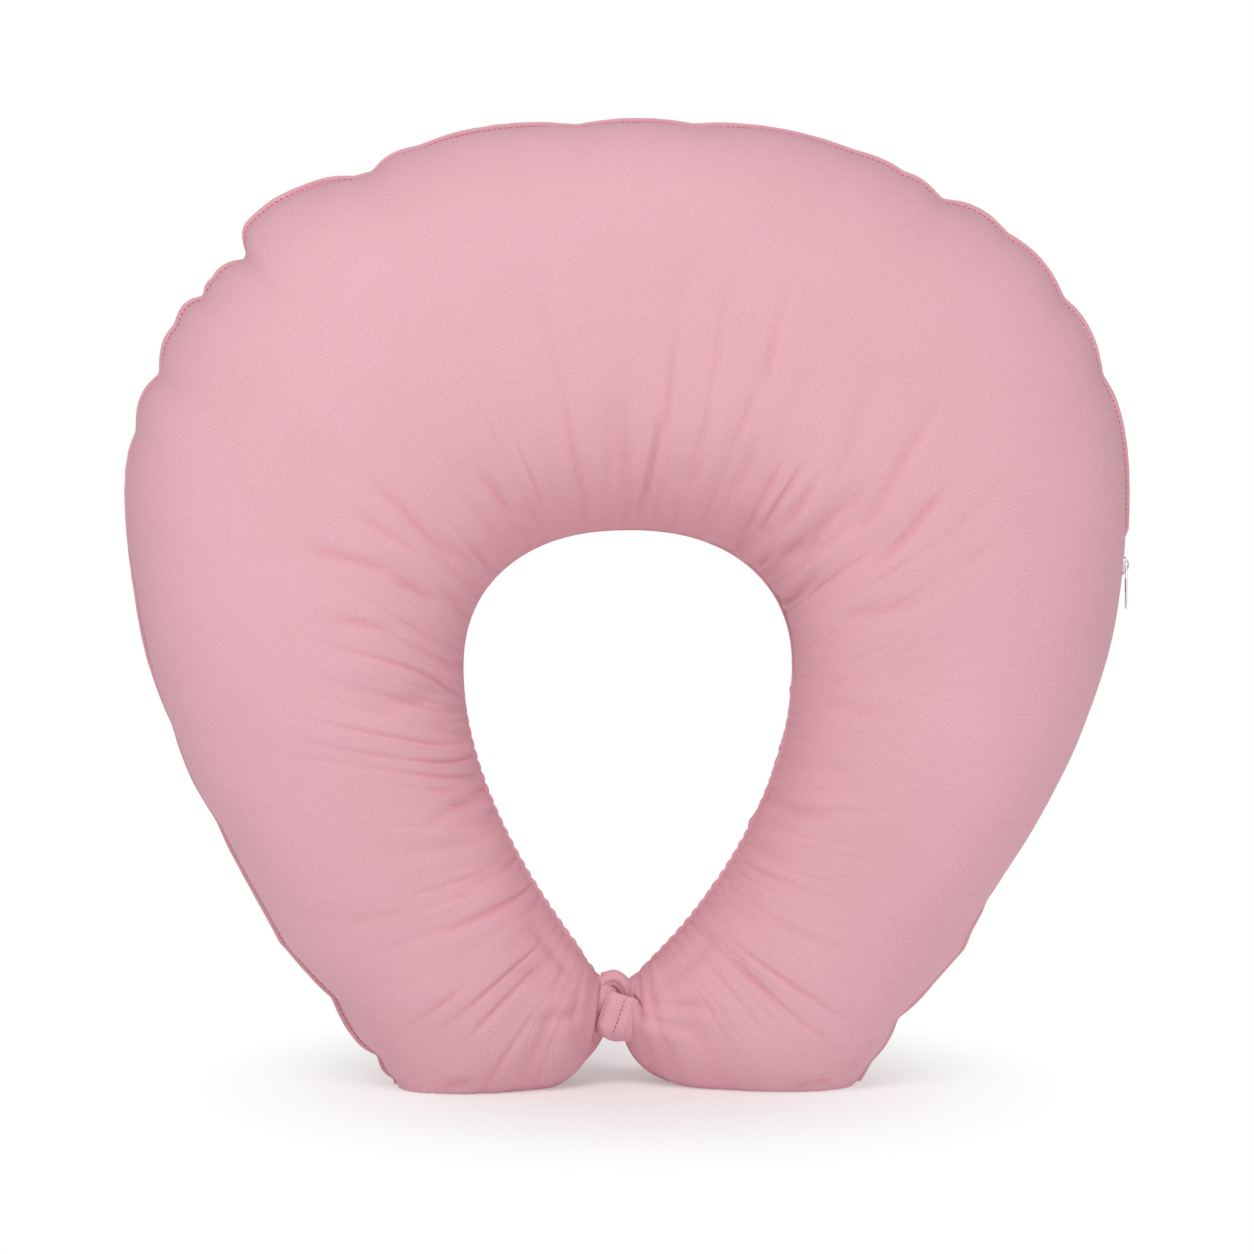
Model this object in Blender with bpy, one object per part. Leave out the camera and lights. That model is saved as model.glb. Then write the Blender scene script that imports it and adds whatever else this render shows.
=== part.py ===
"""Nursing pillow: a stuffed horseshoe in a removable zipped cover, its two tips held by a fabric loop.

Metres, +Z up, front towards -Y. The origin is on the floor, midway across the width and the depth.
The pillow is one bent tube. Its section is drawn between an outer rail and an inner rail, both in
the plane y = 0, which is also the plane of the seams.
"""

import math
from dataclasses import dataclass

import bmesh
import bpy

# Overall size
WIDTH = 0.560
HEIGHT = 0.541
DEPTH = 0.170

# Outer rail: crown, round side, lobe
WAIST_Z = 0.330
CROWN_POWER = 2.25
SIDE_RADIUS = 0.355
SIDE_SWEEP = math.radians(42)
LOBE_PRESS = 0.004
LOBE_REACH = 0.045
LOBE_CORNER_X = 0.148
LOBE_FOOT_X = 0.100
LOBE_HEEL_X = 0.055
TIP_RISE_X = 0.014
TIP_RISE_Z = 0.005

# Inner rail: the opening for the waist
OPENING_HALF_WIDTH = 0.0905
OPENING_TOP_Z = 0.313
OPENING_WAIST_Z = 0.235
OPENING_LEG_DROP = 0.075
OPENING_NECK_X = 0.040
OPENING_NECK_Z = 0.105

# Tips and the loop that joins them
KNOT_X = -0.007
KNOT_Z = 0.047
KNOT_GAP = 0.022
MOUTH_HALF_HEIGHT = 0.014
MOUTH_HALF_DEPTH = 0.018
MOUTH_LEAN = 0.0016
LOOP_WALL = 0.0023
LOOP_HALF_HEIGHT = 0.018
LOOP_INSET = 0.0020
LOOP_END_GAP = 0.0015
ROOT_LENGTH = 0.008

# Section of the tube
SECTION_POWER = 2.5
ARM_TAPER = 0.45
TIP_POWER = 5

# Fabric and clearances
COVER_WALL = 0.0010
CASING_WALL = 0.0010
CASING_FACE_CLEARANCE = 0.0004
CASING_SIDE_CLEARANCE = 0.0030
FILL_CLEARANCE = 0.0004
GAP = 0.0003

# Seams
BINDING_THICKNESS = 0.0018
BINDING_PROUD = 0.0030
BINDING_ROOT = 0.0015
INNER_BINDING_PROUD = 0.0012
INNER_BINDING_ENDS = 3

# Zip, along the round of the right side
ZIP_START = math.radians(4.5)
ZIP_END = math.radians(37.5)
ZIP_TAPE_EDGE = 0.0120
TAPE_WALL = 0.0008
TAPE_RECESS = 0.0002
TAPE_SEAM_MARGIN = math.radians(0.3)
COIL_WIDTH = 0.0016
COIL_DEPTH = 0.0018
COIL_PROUD = 0.0008
POST_HALF_WIDTH = 0.0005
STOP_LENGTH = 0.0030
STOP_PROUD = 0.0012

# Slider and pull tab
SLIDER_LENGTH = 0.0100
SLIDER_WIDTH = 0.0100
PLATE_WALL = 0.0010
POST_LENGTH = 0.0030
BRIDGE_WIDTH = 0.0018
BRIDGE_WALL = 0.0009
BRIDGE_HOLE_LENGTH = 0.0034
BRIDGE_HOLE_HEIGHT = 0.0018
PULL_LENGTH = 0.0240
PULL_WIDTH = 0.0050
PULL_THICKNESS = 0.0010
PULL_WINDOW = 0.0035

# Care label, blank, in the seam at the back of the right shoulder
LABEL_LENGTH = 0.026
LABEL_WALL = 0.0005
LABEL_STATION = 4
LABEL_SIDE_MARGIN = 0.15

# How finely the tube is cut
CROWN_STEPS = 7
ZIP_STEPS = 5
LOBE_STEPS = 4
LOBE_BOUND_STEPS = 2
FOOT_STEPS = 5
PANEL_STEPS = 8
FILL_STEPS = 8
LABEL_STEPS = 64
CASING_END = 2
CASING_TIP = 0.4
FILL_TIP = 0.3

PINK = (0.80, 0.47, 0.53)
DEEP_PINK = (0.66, 0.30, 0.38)
WHITE = (0.86, 0.86, 0.84)
FIBRE = (0.93, 0.93, 0.91)
NICKEL = (0.62, 0.61, 0.60)


@dataclass
class Station:
    """One section of the tube: its two rail points, its half depth and the half gaps at its seams."""

    outer: tuple
    inner: tuple
    half_depth: float
    outer_gap: float
    inner_gap: float

    def half_width(self):
        return math.dist(self.outer, self.inner) / 2

    def point(self, across, y, floor):
        """The place at a signed distance across from the middle, towards the outer rail."""
        half = self.half_width()
        x, z = (
            (o + i) / 2 + across * (o - i) / (2 * half) for o, i in zip(self.outer, self.inner)
        )
        return (x, y, max(z, floor))


def clear_scene():
    for item in list(bpy.data.objects):
        bpy.data.objects.remove(item, do_unlink=True)


def material(name, colour, roughness, metallic=0.0):
    made = bpy.data.materials.get(name) or bpy.data.materials.new(name)
    made.use_nodes = True
    shader = made.node_tree.nodes["Principled BSDF"]
    shader.inputs["Base Color"].default_value = (*colour, 1.0)
    shader.inputs["Roughness"].default_value = roughness
    shader.inputs["Metallic"].default_value = metallic
    return made


def add_object(name, points, faces, finish, parent=None, smooth=True):
    """A closed mesh object, with its faces turned outwards."""
    mesh = bpy.data.meshes.new(name)
    build = bmesh.new()
    corners = [build.verts.new(point) for point in points]
    for face in faces:
        build.faces.new([corners[index] for index in face])
    bmesh.ops.recalc_face_normals(build, faces=build.faces)
    build.to_mesh(mesh)
    build.free()
    if smooth:
        mesh.shade_smooth()
        mesh.set_sharp_from_angle(angle=math.radians(35))
    mesh.materials.append(finish)
    made = bpy.data.objects.new(name, mesh)
    bpy.context.collection.objects.link(made)
    made.parent = parent
    return made


def lofted(rings, capped=True, turned=()):
    """Points and triangles of a tube through closed rings that all have as many points.

    Nested shells must fold along the same diagonals, or their flat facets would cross. The columns
    in turned run the other way across the section, so they take the other diagonal.
    """
    count = len(rings[0])
    points = [point for ring in rings for point in ring]
    faces = []
    for row in range(len(rings) - 1):
        for column in range(count):
            near = row * count + column
            after = row * count + (column + 1) % count
            if column in turned:
                faces += [(near, after, near + count), (after, after + count, near + count)]
            else:
                faces += [(near, after, after + count), (near, after + count, near + count)]
    if capped:
        faces.append(tuple(range(count))[::-1])
        faces.append(tuple(range(len(points) - count, len(points))))
    return points, faces


def superellipse(half_width, rise, angle, power):
    """A point of a quarter superellipse, from the side at angle 0 to the top at a right angle."""
    return (
        half_width * max(math.cos(angle), 0) ** (2 / power),
        rise * max(math.sin(angle), 0) ** (2 / power),
    )


def bezier(controls, t):
    """A point of a cubic curve."""
    weights = ((1 - t) ** 3, 3 * t * (1 - t) ** 2, 3 * t * t * (1 - t), t**3)
    return tuple(sum(w * point[axis] for w, point in zip(weights, controls)) for axis in (0, 1))


def side_point(angle, radius=SIDE_RADIUS):
    """A point on the round of the side, below the widest place by this angle."""
    return (
        WIDTH / 2 - SIDE_RADIUS + radius * math.cos(angle),
        WAIST_Z - radius * math.sin(angle),
    )


def leg_outline(tip_x):
    """The outer rail below the waist, as (point, seam kind), ending at the tip."""
    zip_angles = [
        ZIP_START + (ZIP_END - ZIP_START) * step / ZIP_STEPS for step in range(ZIP_STEPS + 1)
    ]
    outline = [(side_point(0), "bound")]
    outline += [(side_point(angle), "zip") for angle in zip_angles]
    hip = side_point(SIDE_SWEEP)
    outline.append((hip, "bound"))
    out, down = LOBE_REACH * math.sin(SIDE_SWEEP), LOBE_REACH * math.cos(SIDE_SWEEP)
    lobe = (
        hip,
        (hip[0] - out, hip[1] - down),
        (LOBE_CORNER_X, -LOBE_PRESS),
        (LOBE_FOOT_X, -LOBE_PRESS),
    )
    for step in range(1, LOBE_STEPS + 1):
        kind = "bound" if step <= LOBE_BOUND_STEPS else "plain"
        outline.append((bezier(lobe, step / LOBE_STEPS), kind))
    foot = (
        lobe[-1],
        (LOBE_HEEL_X, -LOBE_PRESS),
        (tip_x + TIP_RISE_X, TIP_RISE_Z),
        (tip_x, KNOT_Z - MOUTH_HALF_HEIGHT),
    )
    outline += [(bezier(foot, step / FOOT_STEPS), "plain") for step in range(1, FOOT_STEPS + 1)]
    return outline


def half_stations(tip_x, has_zip):
    """Sections from the top of the crown to one tip, on the +X side."""
    bound = BINDING_THICKNESS / 2 + GAP
    gaps = {
        "plain": GAP / 2,
        "bound": bound,
        "zip": ZIP_TAPE_EDGE + GAP if has_zip else bound,
    }
    stations = []
    for step in range(CROWN_STEPS):
        angle = math.pi / 2 * (1 - step / CROWN_STEPS)
        out_x, out_rise = superellipse(WIDTH / 2, HEIGHT - WAIST_Z, angle, CROWN_POWER)
        in_x, in_rise = superellipse(
            OPENING_HALF_WIDTH, OPENING_TOP_Z - OPENING_WAIST_Z, angle, CROWN_POWER
        )
        stations.append(
            Station(
                (out_x, WAIST_Z + out_rise),
                (in_x, OPENING_WAIST_Z + in_rise),
                DEPTH / 2,
                bound,
                bound,
            )
        )
    outline = leg_outline(tip_x)
    inner_leg = (
        (OPENING_HALF_WIDTH, OPENING_WAIST_Z),
        (OPENING_HALF_WIDTH, OPENING_WAIST_Z - OPENING_LEG_DROP),
        (OPENING_NECK_X, OPENING_NECK_Z),
        (tip_x + MOUTH_LEAN, KNOT_Z + MOUTH_HALF_HEIGHT),
    )
    lengths = [0.0]
    for (before, _), (after, _) in zip(outline, outline[1:]):
        lengths.append(lengths[-1] + math.dist(before, after))
    for index, (point, kind) in enumerate(outline):
        share = lengths[index] / lengths[-1]
        fullness = (1 - ARM_TAPER * share) * math.sqrt(max(1 - share**TIP_POWER, 0))
        depth = MOUTH_HALF_DEPTH + (DEPTH / 2 - MOUTH_HALF_DEPTH) * fullness
        near_tip = index >= len(outline) - INNER_BINDING_ENDS
        inner_gap = GAP / 2 if near_tip else bound
        stations.append(Station(point, bezier(inner_leg, share), depth, gaps[kind], inner_gap))
    return stations


def all_stations():
    """Sections from the left tip, over the crown, to the right tip."""
    left = half_stations(KNOT_GAP / 2 - KNOT_X, has_zip=False)
    right = half_stations(KNOT_GAP / 2 + KNOT_X, has_zip=True)
    for station in left:
        station.outer = (-station.outer[0], station.outer[1])
        station.inner = (-station.inner[0], station.inner[1])
    return left[:0:-1] + right


def half_profile(half_width, half_depth, outer_gap, inner_gap, steps):
    """(across, depth) points of half a section, from the outer seam to the inner seam."""
    power = SECTION_POWER

    def seam(gap):
        return (1 - (gap / half_depth) ** power) ** (1 / power)

    points = [(half_width * seam(outer_gap), outer_gap)]
    for step in range(1, steps):
        turn = math.pi * step / steps
        across = math.copysign(abs(math.cos(turn)) ** (2 / power), math.cos(turn))
        points.append((half_width * across, half_depth * math.sin(turn) ** (2 / power)))
    points.append((-half_width * seam(inner_gap), inner_gap))
    return points


def panel_row(station, side, side_offset, face_offset, scale, gaps):
    """One row of a panel's surface, drawn in from the outside by the two offsets."""
    half_width = (station.half_width() - side_offset) * scale
    half_depth = (station.half_depth - face_offset) * scale
    profile = half_profile(half_width, half_depth, *gaps(station), PANEL_STEPS)
    return [station.point(across, side * depth, side_offset) for across, depth in profile]


def panel_shell(name, stations, side, offsets, wall, finish, tip_scale=1.0, gaps=None):
    """Half the tube's wall, in front (side -1) or behind (side +1), open at the seams and tips."""
    gaps = gaps or (lambda station: (station.outer_gap, station.inner_gap))
    side_offset, face_offset = offsets
    rings = []
    for index, station in enumerate(stations):
        scale = tip_scale if index in (0, len(stations) - 1) else 1.0
        outside = panel_row(station, side, side_offset, face_offset, scale, gaps)
        inside = panel_row(station, side, side_offset + wall, face_offset + wall, scale, gaps)
        rings.append(outside + inside[::-1])
    count = len(rings[0])
    inside = range(PANEL_STEPS + 1, count - 1)
    points, faces = lofted(rings, capped=False, turned=inside)
    for start in (0, len(points) - count):
        for column in range(PANEL_STEPS):
            far = count - 1 - column
            faces.append(
                (start + column, start + column + 1, start + far - 1, start + far)
            )
    return add_object(name, points, faces, finish)


def fill_body(name, stations, side_offset, face_offset, finish):
    """The stuffing: a closed tube with small rounded ends."""
    rings = []
    for index, station in enumerate(stations):
        scale = FILL_TIP if index in (0, len(stations) - 1) else 1.0
        half_width = (station.half_width() - side_offset) * scale
        half_depth = (station.half_depth - face_offset) * scale
        front = half_profile(half_width, half_depth, 0.0, 0.0, FILL_STEPS)
        loop = front[:-1] + [(-across, -depth) for across, depth in front[:-1]]
        rings.append([station.point(across, -depth, side_offset) for across, depth in loop])
    behind = range(FILL_STEPS, 2 * FILL_STEPS)
    return add_object(name, *lofted(rings, turned=behind), finish)


def seam_strip(name, stations, rail, proud, finish):
    """A bound seam's narrow edge, standing out of the tube by its proud height."""
    rings = []
    for station in stations:
        near = rail * (station.half_width() - BINDING_ROOT)
        far = rail * (station.half_width() + proud)
        half = BINDING_THICKNESS / 2
        corners = ((near, -half), (far, -half), (far, half), (near, half))
        rings.append([station.point(across, y, 0.0) for across, y in corners])
    return add_object(name, *lofted(rings), finish, smooth=False)


def arc_strip(name, low_r, high_r, low_y, high_y, start, end, finish):
    """A strip of oblong section that follows the round of the side."""
    steps = max(2, round((end - start) / math.radians(1.65)))
    rings = []
    for step in range(steps + 1):
        angle = start + (end - start) * step / steps
        corners = ((low_r, low_y), (high_r, low_y), (high_r, high_y), (low_r, high_y))
        ring = []
        for radius, y in corners:
            x, z = side_point(angle, radius)
            ring.append((x, y, z))
        rings.append(ring)
    return add_object(name, *lofted(rings), finish, smooth=False)


def loop_half_depth():
    """The loop's half depth: its two ends go into the cover's mouth, clear of the wall."""
    return MOUTH_HALF_DEPTH - COVER_WALL - LOOP_INSET


def oval_ring(x, half_height, half_depth, sides=16):
    """A ring of points round the knot's middle, in a plane of constant x."""
    turns = [2 * math.pi * (side + 0.5) / sides for side in range(sides)]
    return [
        (x, half_depth * math.cos(turn), KNOT_Z + half_height * math.sin(turn)) for turn in turns
    ]


def box_points(low, high):
    xs, ys, zs = zip(low, high)
    return [(x, y, z) for x in xs for y in ys for z in zs]


BOX_FACES = ((0, 1, 3, 2), (4, 6, 7, 5), (0, 4, 5, 1), (2, 3, 7, 6), (0, 2, 6, 4), (1, 5, 7, 3))


def block(name, low, high, finish, parent=None):
    return add_object(name, box_points(low, high), BOX_FACES, finish, parent, smooth=False)


def combine(target, tool, operation):
    """A live Boolean with a hidden tool."""
    tool.hide_render = True
    tool.display_type = "WIRE"
    cut = target.modifiers.new(tool.name, "BOOLEAN")
    cut.operation = operation
    cut.solver = "EXACT"
    cut.object = tool


def make_cover(stations, fabric):
    panel_shell("cover_front_panel", stations, -1, (0.0, 0.0), COVER_WALL, fabric)
    panel_shell("cover_back_panel", stations, 1, (0.0, 0.0), COVER_WALL, fabric)


def make_inner_pillow(stations, cloth, fibre):
    """The stuffed inner pillow: two casing panels round the fibre."""
    kept = stations[CASING_END:-CASING_END]
    offsets = (COVER_WALL + CASING_SIDE_CLEARANCE, COVER_WALL + CASING_FACE_CLEARANCE)

    def casing_gaps(_station):
        return (GAP / 2, GAP / 2)

    for name, side in (("inner_casing_front", -1), ("inner_casing_back", 1)):
        panel_shell(name, kept, side, offsets, CASING_WALL, cloth, CASING_TIP, casing_gaps)
    side_offset, face_offset = (offset + CASING_WALL + FILL_CLEARANCE for offset in offsets)
    fill_body("fibre_fill", kept, side_offset, face_offset, fibre)


def make_seams(stations, binding):
    """The bound outer seam, broken by the zip, and the gathered inner seam."""
    bound = BINDING_THICKNESS / 2 + GAP
    runs, run = [], []
    for station in stations + [None]:
        if station and station.outer_gap == bound:
            run.append(station)
        elif run:
            runs.append(run)
            run = []
    names = ("outer_seam_binding", "lower_right_seam_binding")
    for name, run in zip(names, runs, strict=True):
        seam_strip(name, run, 1, BINDING_PROUD, binding)
    inner_run = [station for station in stations if station.inner_gap == bound]
    seam_strip("inner_seam_binding", inner_run, -1, INNER_BINDING_PROUD, binding)


def make_label(stations, cloth):
    """A blank tape label that lies on the back panel, sewn in at the outer seam."""
    middle = len(stations) // 2 + LABEL_STATION
    rings = []
    for station in stations[middle : middle + 2]:
        row = []
        for rise in (GAP, GAP + LABEL_WALL):
            half_width = station.half_width() + rise
            half_depth = station.half_depth + rise
            profile = half_profile(half_width, half_depth, station.outer_gap, 0.0, LABEL_STEPS)
            kept = [point for point in profile if point[0] > 0 and point[1] <= LABEL_LENGTH]
            row.append([station.point(across, depth, 0.0) for across, depth in kept])
        rings.append(row[0] + row[1][::-1])
    first, last = rings
    share = LABEL_SIDE_MARGIN
    start = [tuple(a + share * (b - a) for a, b in zip(p, q)) for p, q in zip(first, last)]
    end = [tuple(b + share * (a - b) for a, b in zip(p, q)) for p, q in zip(first, last)]
    return add_object("care_label", *lofted([start, end]), cloth, smooth=False)


def make_ties(fabric):
    """The left tip's gathered tab, and the fabric loop on the right tip that holds it."""
    left_x = KNOT_X - KNOT_GAP / 2
    right_x = KNOT_X + KNOT_GAP / 2
    root_height = MOUTH_HALF_HEIGHT - COVER_WALL - GAP
    root_depth = MOUTH_HALF_DEPTH - COVER_WALL - GAP
    held_height = LOOP_HALF_HEIGHT - LOOP_WALL - GAP
    loop_depth = loop_half_depth()
    held_depth = loop_depth - LOOP_WALL - GAP
    loop_left = left_x + LOOP_END_GAP
    loop_right = right_x - LOOP_END_GAP
    tab = [
        oval_ring(left_x - ROOT_LENGTH, root_height * 0.9, root_depth * 0.9),
        oval_ring(left_x, root_height * 0.95, root_depth * 0.9),
        oval_ring(loop_left, held_height * 0.92, held_depth * 0.92),
        oval_ring(loop_left + 0.004, held_height, held_depth),
        oval_ring(loop_right - 0.004, held_height, held_depth),
        oval_ring(loop_right, held_height * 0.8, held_depth * 0.8),
    ]
    add_object("left_tie_tab", *lofted(tab), fabric)

    rings = [
        oval_ring(loop_left, LOOP_HALF_HEIGHT, loop_depth),
        oval_ring(loop_right, LOOP_HALF_HEIGHT, loop_depth),
        oval_ring(loop_right, LOOP_HALF_HEIGHT - LOOP_WALL, loop_depth - LOOP_WALL),
        oval_ring(loop_left, LOOP_HALF_HEIGHT - LOOP_WALL, loop_depth - LOOP_WALL),
    ]
    points, faces = lofted(rings + rings[:1], capped=False)
    count = len(rings[0])
    points = points[: 4 * count]
    faces = [tuple(index % (4 * count) for index in face) for face in faces]
    loop = add_object("right_tie_loop", points, faces, fabric)
    mouth_height = MOUTH_HALF_HEIGHT - COVER_WALL
    mouth_depth = MOUTH_HALF_DEPTH - COVER_WALL
    reach = (loop_depth + GAP) / mouth_depth
    half_height = mouth_height * (1 - reach**SECTION_POWER) ** (1 / SECTION_POWER) - GAP
    for name, side in (("front", -1), ("back", 1)):
        depths = sorted((side * (loop_depth - LOOP_WALL), side * loop_depth))
        low = (loop_right - LOOP_WALL, depths[0], KNOT_Z - half_height)
        high = (right_x + ROOT_LENGTH, depths[1], KNOT_Z + half_height)
        combine(loop, block(f"loop_{name}_end", low, high, fabric), "UNION")


def make_zip(tape_cloth, coil_nylon, nickel):
    """Two tapes, two coils, two end stops, the slider and its pull tab."""
    coil_near = POST_HALF_WIDTH + GAP
    coil_far = coil_near + COIL_WIDTH
    tape_near = coil_far + GAP
    tape_top = SIDE_RADIUS - TAPE_RECESS
    coil_top = SIDE_RADIUS + COIL_PROUD
    start, end = ZIP_START + TAPE_SEAM_MARGIN, ZIP_END - TAPE_SEAM_MARGIN
    stop_sweep = STOP_LENGTH / SIDE_RADIUS
    gap_sweep = GAP / SIDE_RADIUS
    for name, side in (("front", -1), ("back", 1)):
        tape = sorted((side * tape_near, side * ZIP_TAPE_EDGE))
        coil = sorted((side * coil_near, side * coil_far))
        arc_strip(
            f"zip_tape_{name}", tape_top - TAPE_WALL, tape_top, *tape, start, end, tape_cloth
        )
        arc_strip(
            f"zip_coil_{name}",
            coil_top - COIL_DEPTH,
            coil_top,
            *coil,
            start + stop_sweep + gap_sweep,
            end - stop_sweep - gap_sweep,
            coil_nylon,
        )
    stop_top = SIDE_RADIUS + STOP_PROUD
    for name, begin in (("zip_top_stop", start), ("zip_bottom_stop", end - stop_sweep)):
        arc_strip(
            name, tape_top - TAPE_WALL, stop_top, -coil_far, coil_far, begin, begin + stop_sweep, nickel
        )

    rest = start + stop_sweep + (SLIDER_LENGTH / 2 + GAP) / SIDE_RADIUS
    axis = bpy.data.objects.new("zip_slider_axis", None)
    bpy.context.collection.objects.link(axis)
    axis.location = (WIDTH / 2 - SIDE_RADIUS, 0, WAIST_Z)
    axis.rotation_euler = (0, rest, 0)
    plate_bottom = coil_top + GAP
    plate_top = plate_bottom + PLATE_WALL
    under_top = tape_top - TAPE_WALL - GAP
    under_bottom = under_top - PLATE_WALL
    half_length, half_width = SLIDER_LENGTH / 2, SLIDER_WIDTH / 2
    slider = block(
        "zip_slider",
        (plate_bottom, -half_width, -half_length),
        (plate_top, half_width, half_length),
        nickel,
        axis,
    )
    bridge_top = plate_top + BRIDGE_HOLE_HEIGHT + BRIDGE_WALL
    foot = BRIDGE_HOLE_LENGTH / 2
    bite = PLATE_WALL / 4
    tools = {
        "slider_under_plate": (
            (under_bottom, -half_width, -half_length),
            (under_top, half_width, half_length),
        ),
        "slider_post": (
            (under_top - bite, -POST_HALF_WIDTH, half_length - POST_LENGTH),
            (plate_bottom + bite, POST_HALF_WIDTH, half_length - bite),
        ),
        "bridge_upper_foot": (
            (plate_top - bite, -BRIDGE_WIDTH / 2, foot),
            (bridge_top, BRIDGE_WIDTH / 2, foot + BRIDGE_WALL),
        ),
        "bridge_lower_foot": (
            (plate_top - bite, -BRIDGE_WIDTH / 2, -foot - BRIDGE_WALL),
            (bridge_top, BRIDGE_WIDTH / 2, -foot),
        ),
        "bridge_bar": (
            (bridge_top - BRIDGE_WALL, -BRIDGE_WIDTH / 2, -foot - bite),
            (bridge_top, BRIDGE_WIDTH / 2, foot + bite),
        ),
    }
    for name, (low, high) in tools.items():
        combine(slider, block(name, low, high, nickel, axis), "UNION")

    pivot_radius = plate_top + BRIDGE_HOLE_HEIGHT / 2
    pivot = bpy.data.objects.new("zip_pull_axis", None)
    bpy.context.collection.objects.link(pivot)
    pivot.parent = axis
    pivot.location = (pivot_radius, 0, 0)
    pivot.rotation_euler = (0, -rest, 0)
    window_half = BRIDGE_WIDTH / 2 + GAP
    half = PULL_THICKNESS / 2
    pull = block(
        "zip_pull_tab",
        (-half, -PULL_WIDTH / 2, -PULL_LENGTH),
        (half, PULL_WIDTH / 2, half),
        nickel,
        pivot,
    )
    window = block(
        "pull_window",
        (-2 * half, -window_half, -half - PULL_WINDOW),
        (2 * half, window_half, -half),
        nickel,
        pivot,
    )
    combine(pull, window, "DIFFERENCE")
    return {"axis": tuple(axis.location), "rest": rest, "pivot_radius": pivot_radius}


def main():
    clear_scene()
    fabric = material("cover_cotton", PINK, 0.9)
    binding = material("seam_binding", DEEP_PINK, 0.9)
    lining = material("casing_cotton", WHITE, 0.95)
    fibre = material("polyester_fibre", FIBRE, 1.0)
    tape = material("zip_tape", DEEP_PINK, 0.85)
    nylon = material("zip_nylon", PINK, 0.45)
    nickel = material("nickel_plate", NICKEL, 0.3, 1.0)
    stations = all_stations()
    make_cover(stations, fabric)
    make_inner_pillow(stations, lining, fibre)
    make_seams(stations, binding)
    make_label(stations, lining)
    make_ties(fabric)
    make_zip(tape, nylon, nickel)


main()
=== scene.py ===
"""Looks of a horseshoe nursing pillow: its sewn cover, seams, knot, zip, label and a white studio."""

import logging
import math
from dataclasses import dataclass
from enum import Enum

import bpy
import numpy as np
from mathutils import Matrix, Vector


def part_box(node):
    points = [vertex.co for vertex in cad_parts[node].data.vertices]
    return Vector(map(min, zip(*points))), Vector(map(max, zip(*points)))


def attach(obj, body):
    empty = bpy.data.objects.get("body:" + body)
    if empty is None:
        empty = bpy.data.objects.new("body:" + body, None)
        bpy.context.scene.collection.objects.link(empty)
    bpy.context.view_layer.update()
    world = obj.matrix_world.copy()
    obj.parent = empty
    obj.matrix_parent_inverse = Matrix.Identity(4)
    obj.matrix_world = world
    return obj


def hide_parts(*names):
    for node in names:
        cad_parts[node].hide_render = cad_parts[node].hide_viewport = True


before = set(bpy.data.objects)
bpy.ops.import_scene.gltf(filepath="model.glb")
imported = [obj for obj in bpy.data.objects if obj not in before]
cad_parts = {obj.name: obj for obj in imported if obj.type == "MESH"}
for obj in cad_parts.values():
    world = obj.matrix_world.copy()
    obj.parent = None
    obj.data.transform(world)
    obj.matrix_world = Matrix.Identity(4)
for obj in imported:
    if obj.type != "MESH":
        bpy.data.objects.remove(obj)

LOG = logging.getLogger("pillow")
MERGE_NEAR = 0.000002
LEGS_TOP_Z = 0.235
LEGS_RAMP = 0.06
OUTER_STRETCH = 1.25
LEFT_CORNER_CLOCK = 250.6
RIGHT_CORNER_CLOCK = -70.0
OPENING_EDGE_SPAN = (0.035, 0.972)


class Side(Enum):
    """Which half of the cover a piece belongs to; the value is the sign of its depth."""

    FRONT = -1
    BACK = 1


# ---------------------------------------------------------------- shader graph


class Socket:
    """A shader socket that takes part in arithmetic by adding Math nodes."""

    def __init__(self, graph: "Graph", socket: bpy.types.NodeSocket) -> None:
        """Holds the graph and the output socket."""
        self.graph = graph
        self.socket = socket

    def math(self, operation: str, *others: object) -> "Socket":
        """Adds a Math node.

        Args:
            operation: The Math node's operation.
            others: The operands after this one.

        Returns:
            The node's result.
        """
        values = {index: value for index, value in enumerate((self, *others))}
        return self.graph.node("ShaderNodeMath", {"operation": operation}, values)

    def __add__(self, other: object) -> "Socket":
        """Sum."""
        return self.math("ADD", other)

    def __radd__(self, other: object) -> "Socket":
        """Sum, reflected."""
        return self.math("ADD", other)

    def __sub__(self, other: object) -> "Socket":
        """Difference."""
        return self.math("SUBTRACT", other)

    def __rsub__(self, other: object) -> "Socket":
        """Difference, reflected."""
        return self.math("MULTIPLY", -1.0).math("ADD", other)

    def __mul__(self, other: object) -> "Socket":
        """Product."""
        return self.math("MULTIPLY", other)

    def __rmul__(self, other: object) -> "Socket":
        """Product, reflected."""
        return self.math("MULTIPLY", other)

    def sine(self) -> "Socket":
        """Sine of the value, in radians."""
        return self.math("SINE")

    def between(self, low: float, high: float) -> "Socket":
        """Maps low..high to 0..1, clamped.

        Args:
            low: The value that becomes 0.
            high: The value that becomes 1.

        Returns:
            The mapped value.
        """
        settings = {"clamp": True}
        values = {"Value": self, "From Min": low, "From Max": high}
        return self.graph.node("ShaderNodeMapRange", settings, values)


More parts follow.
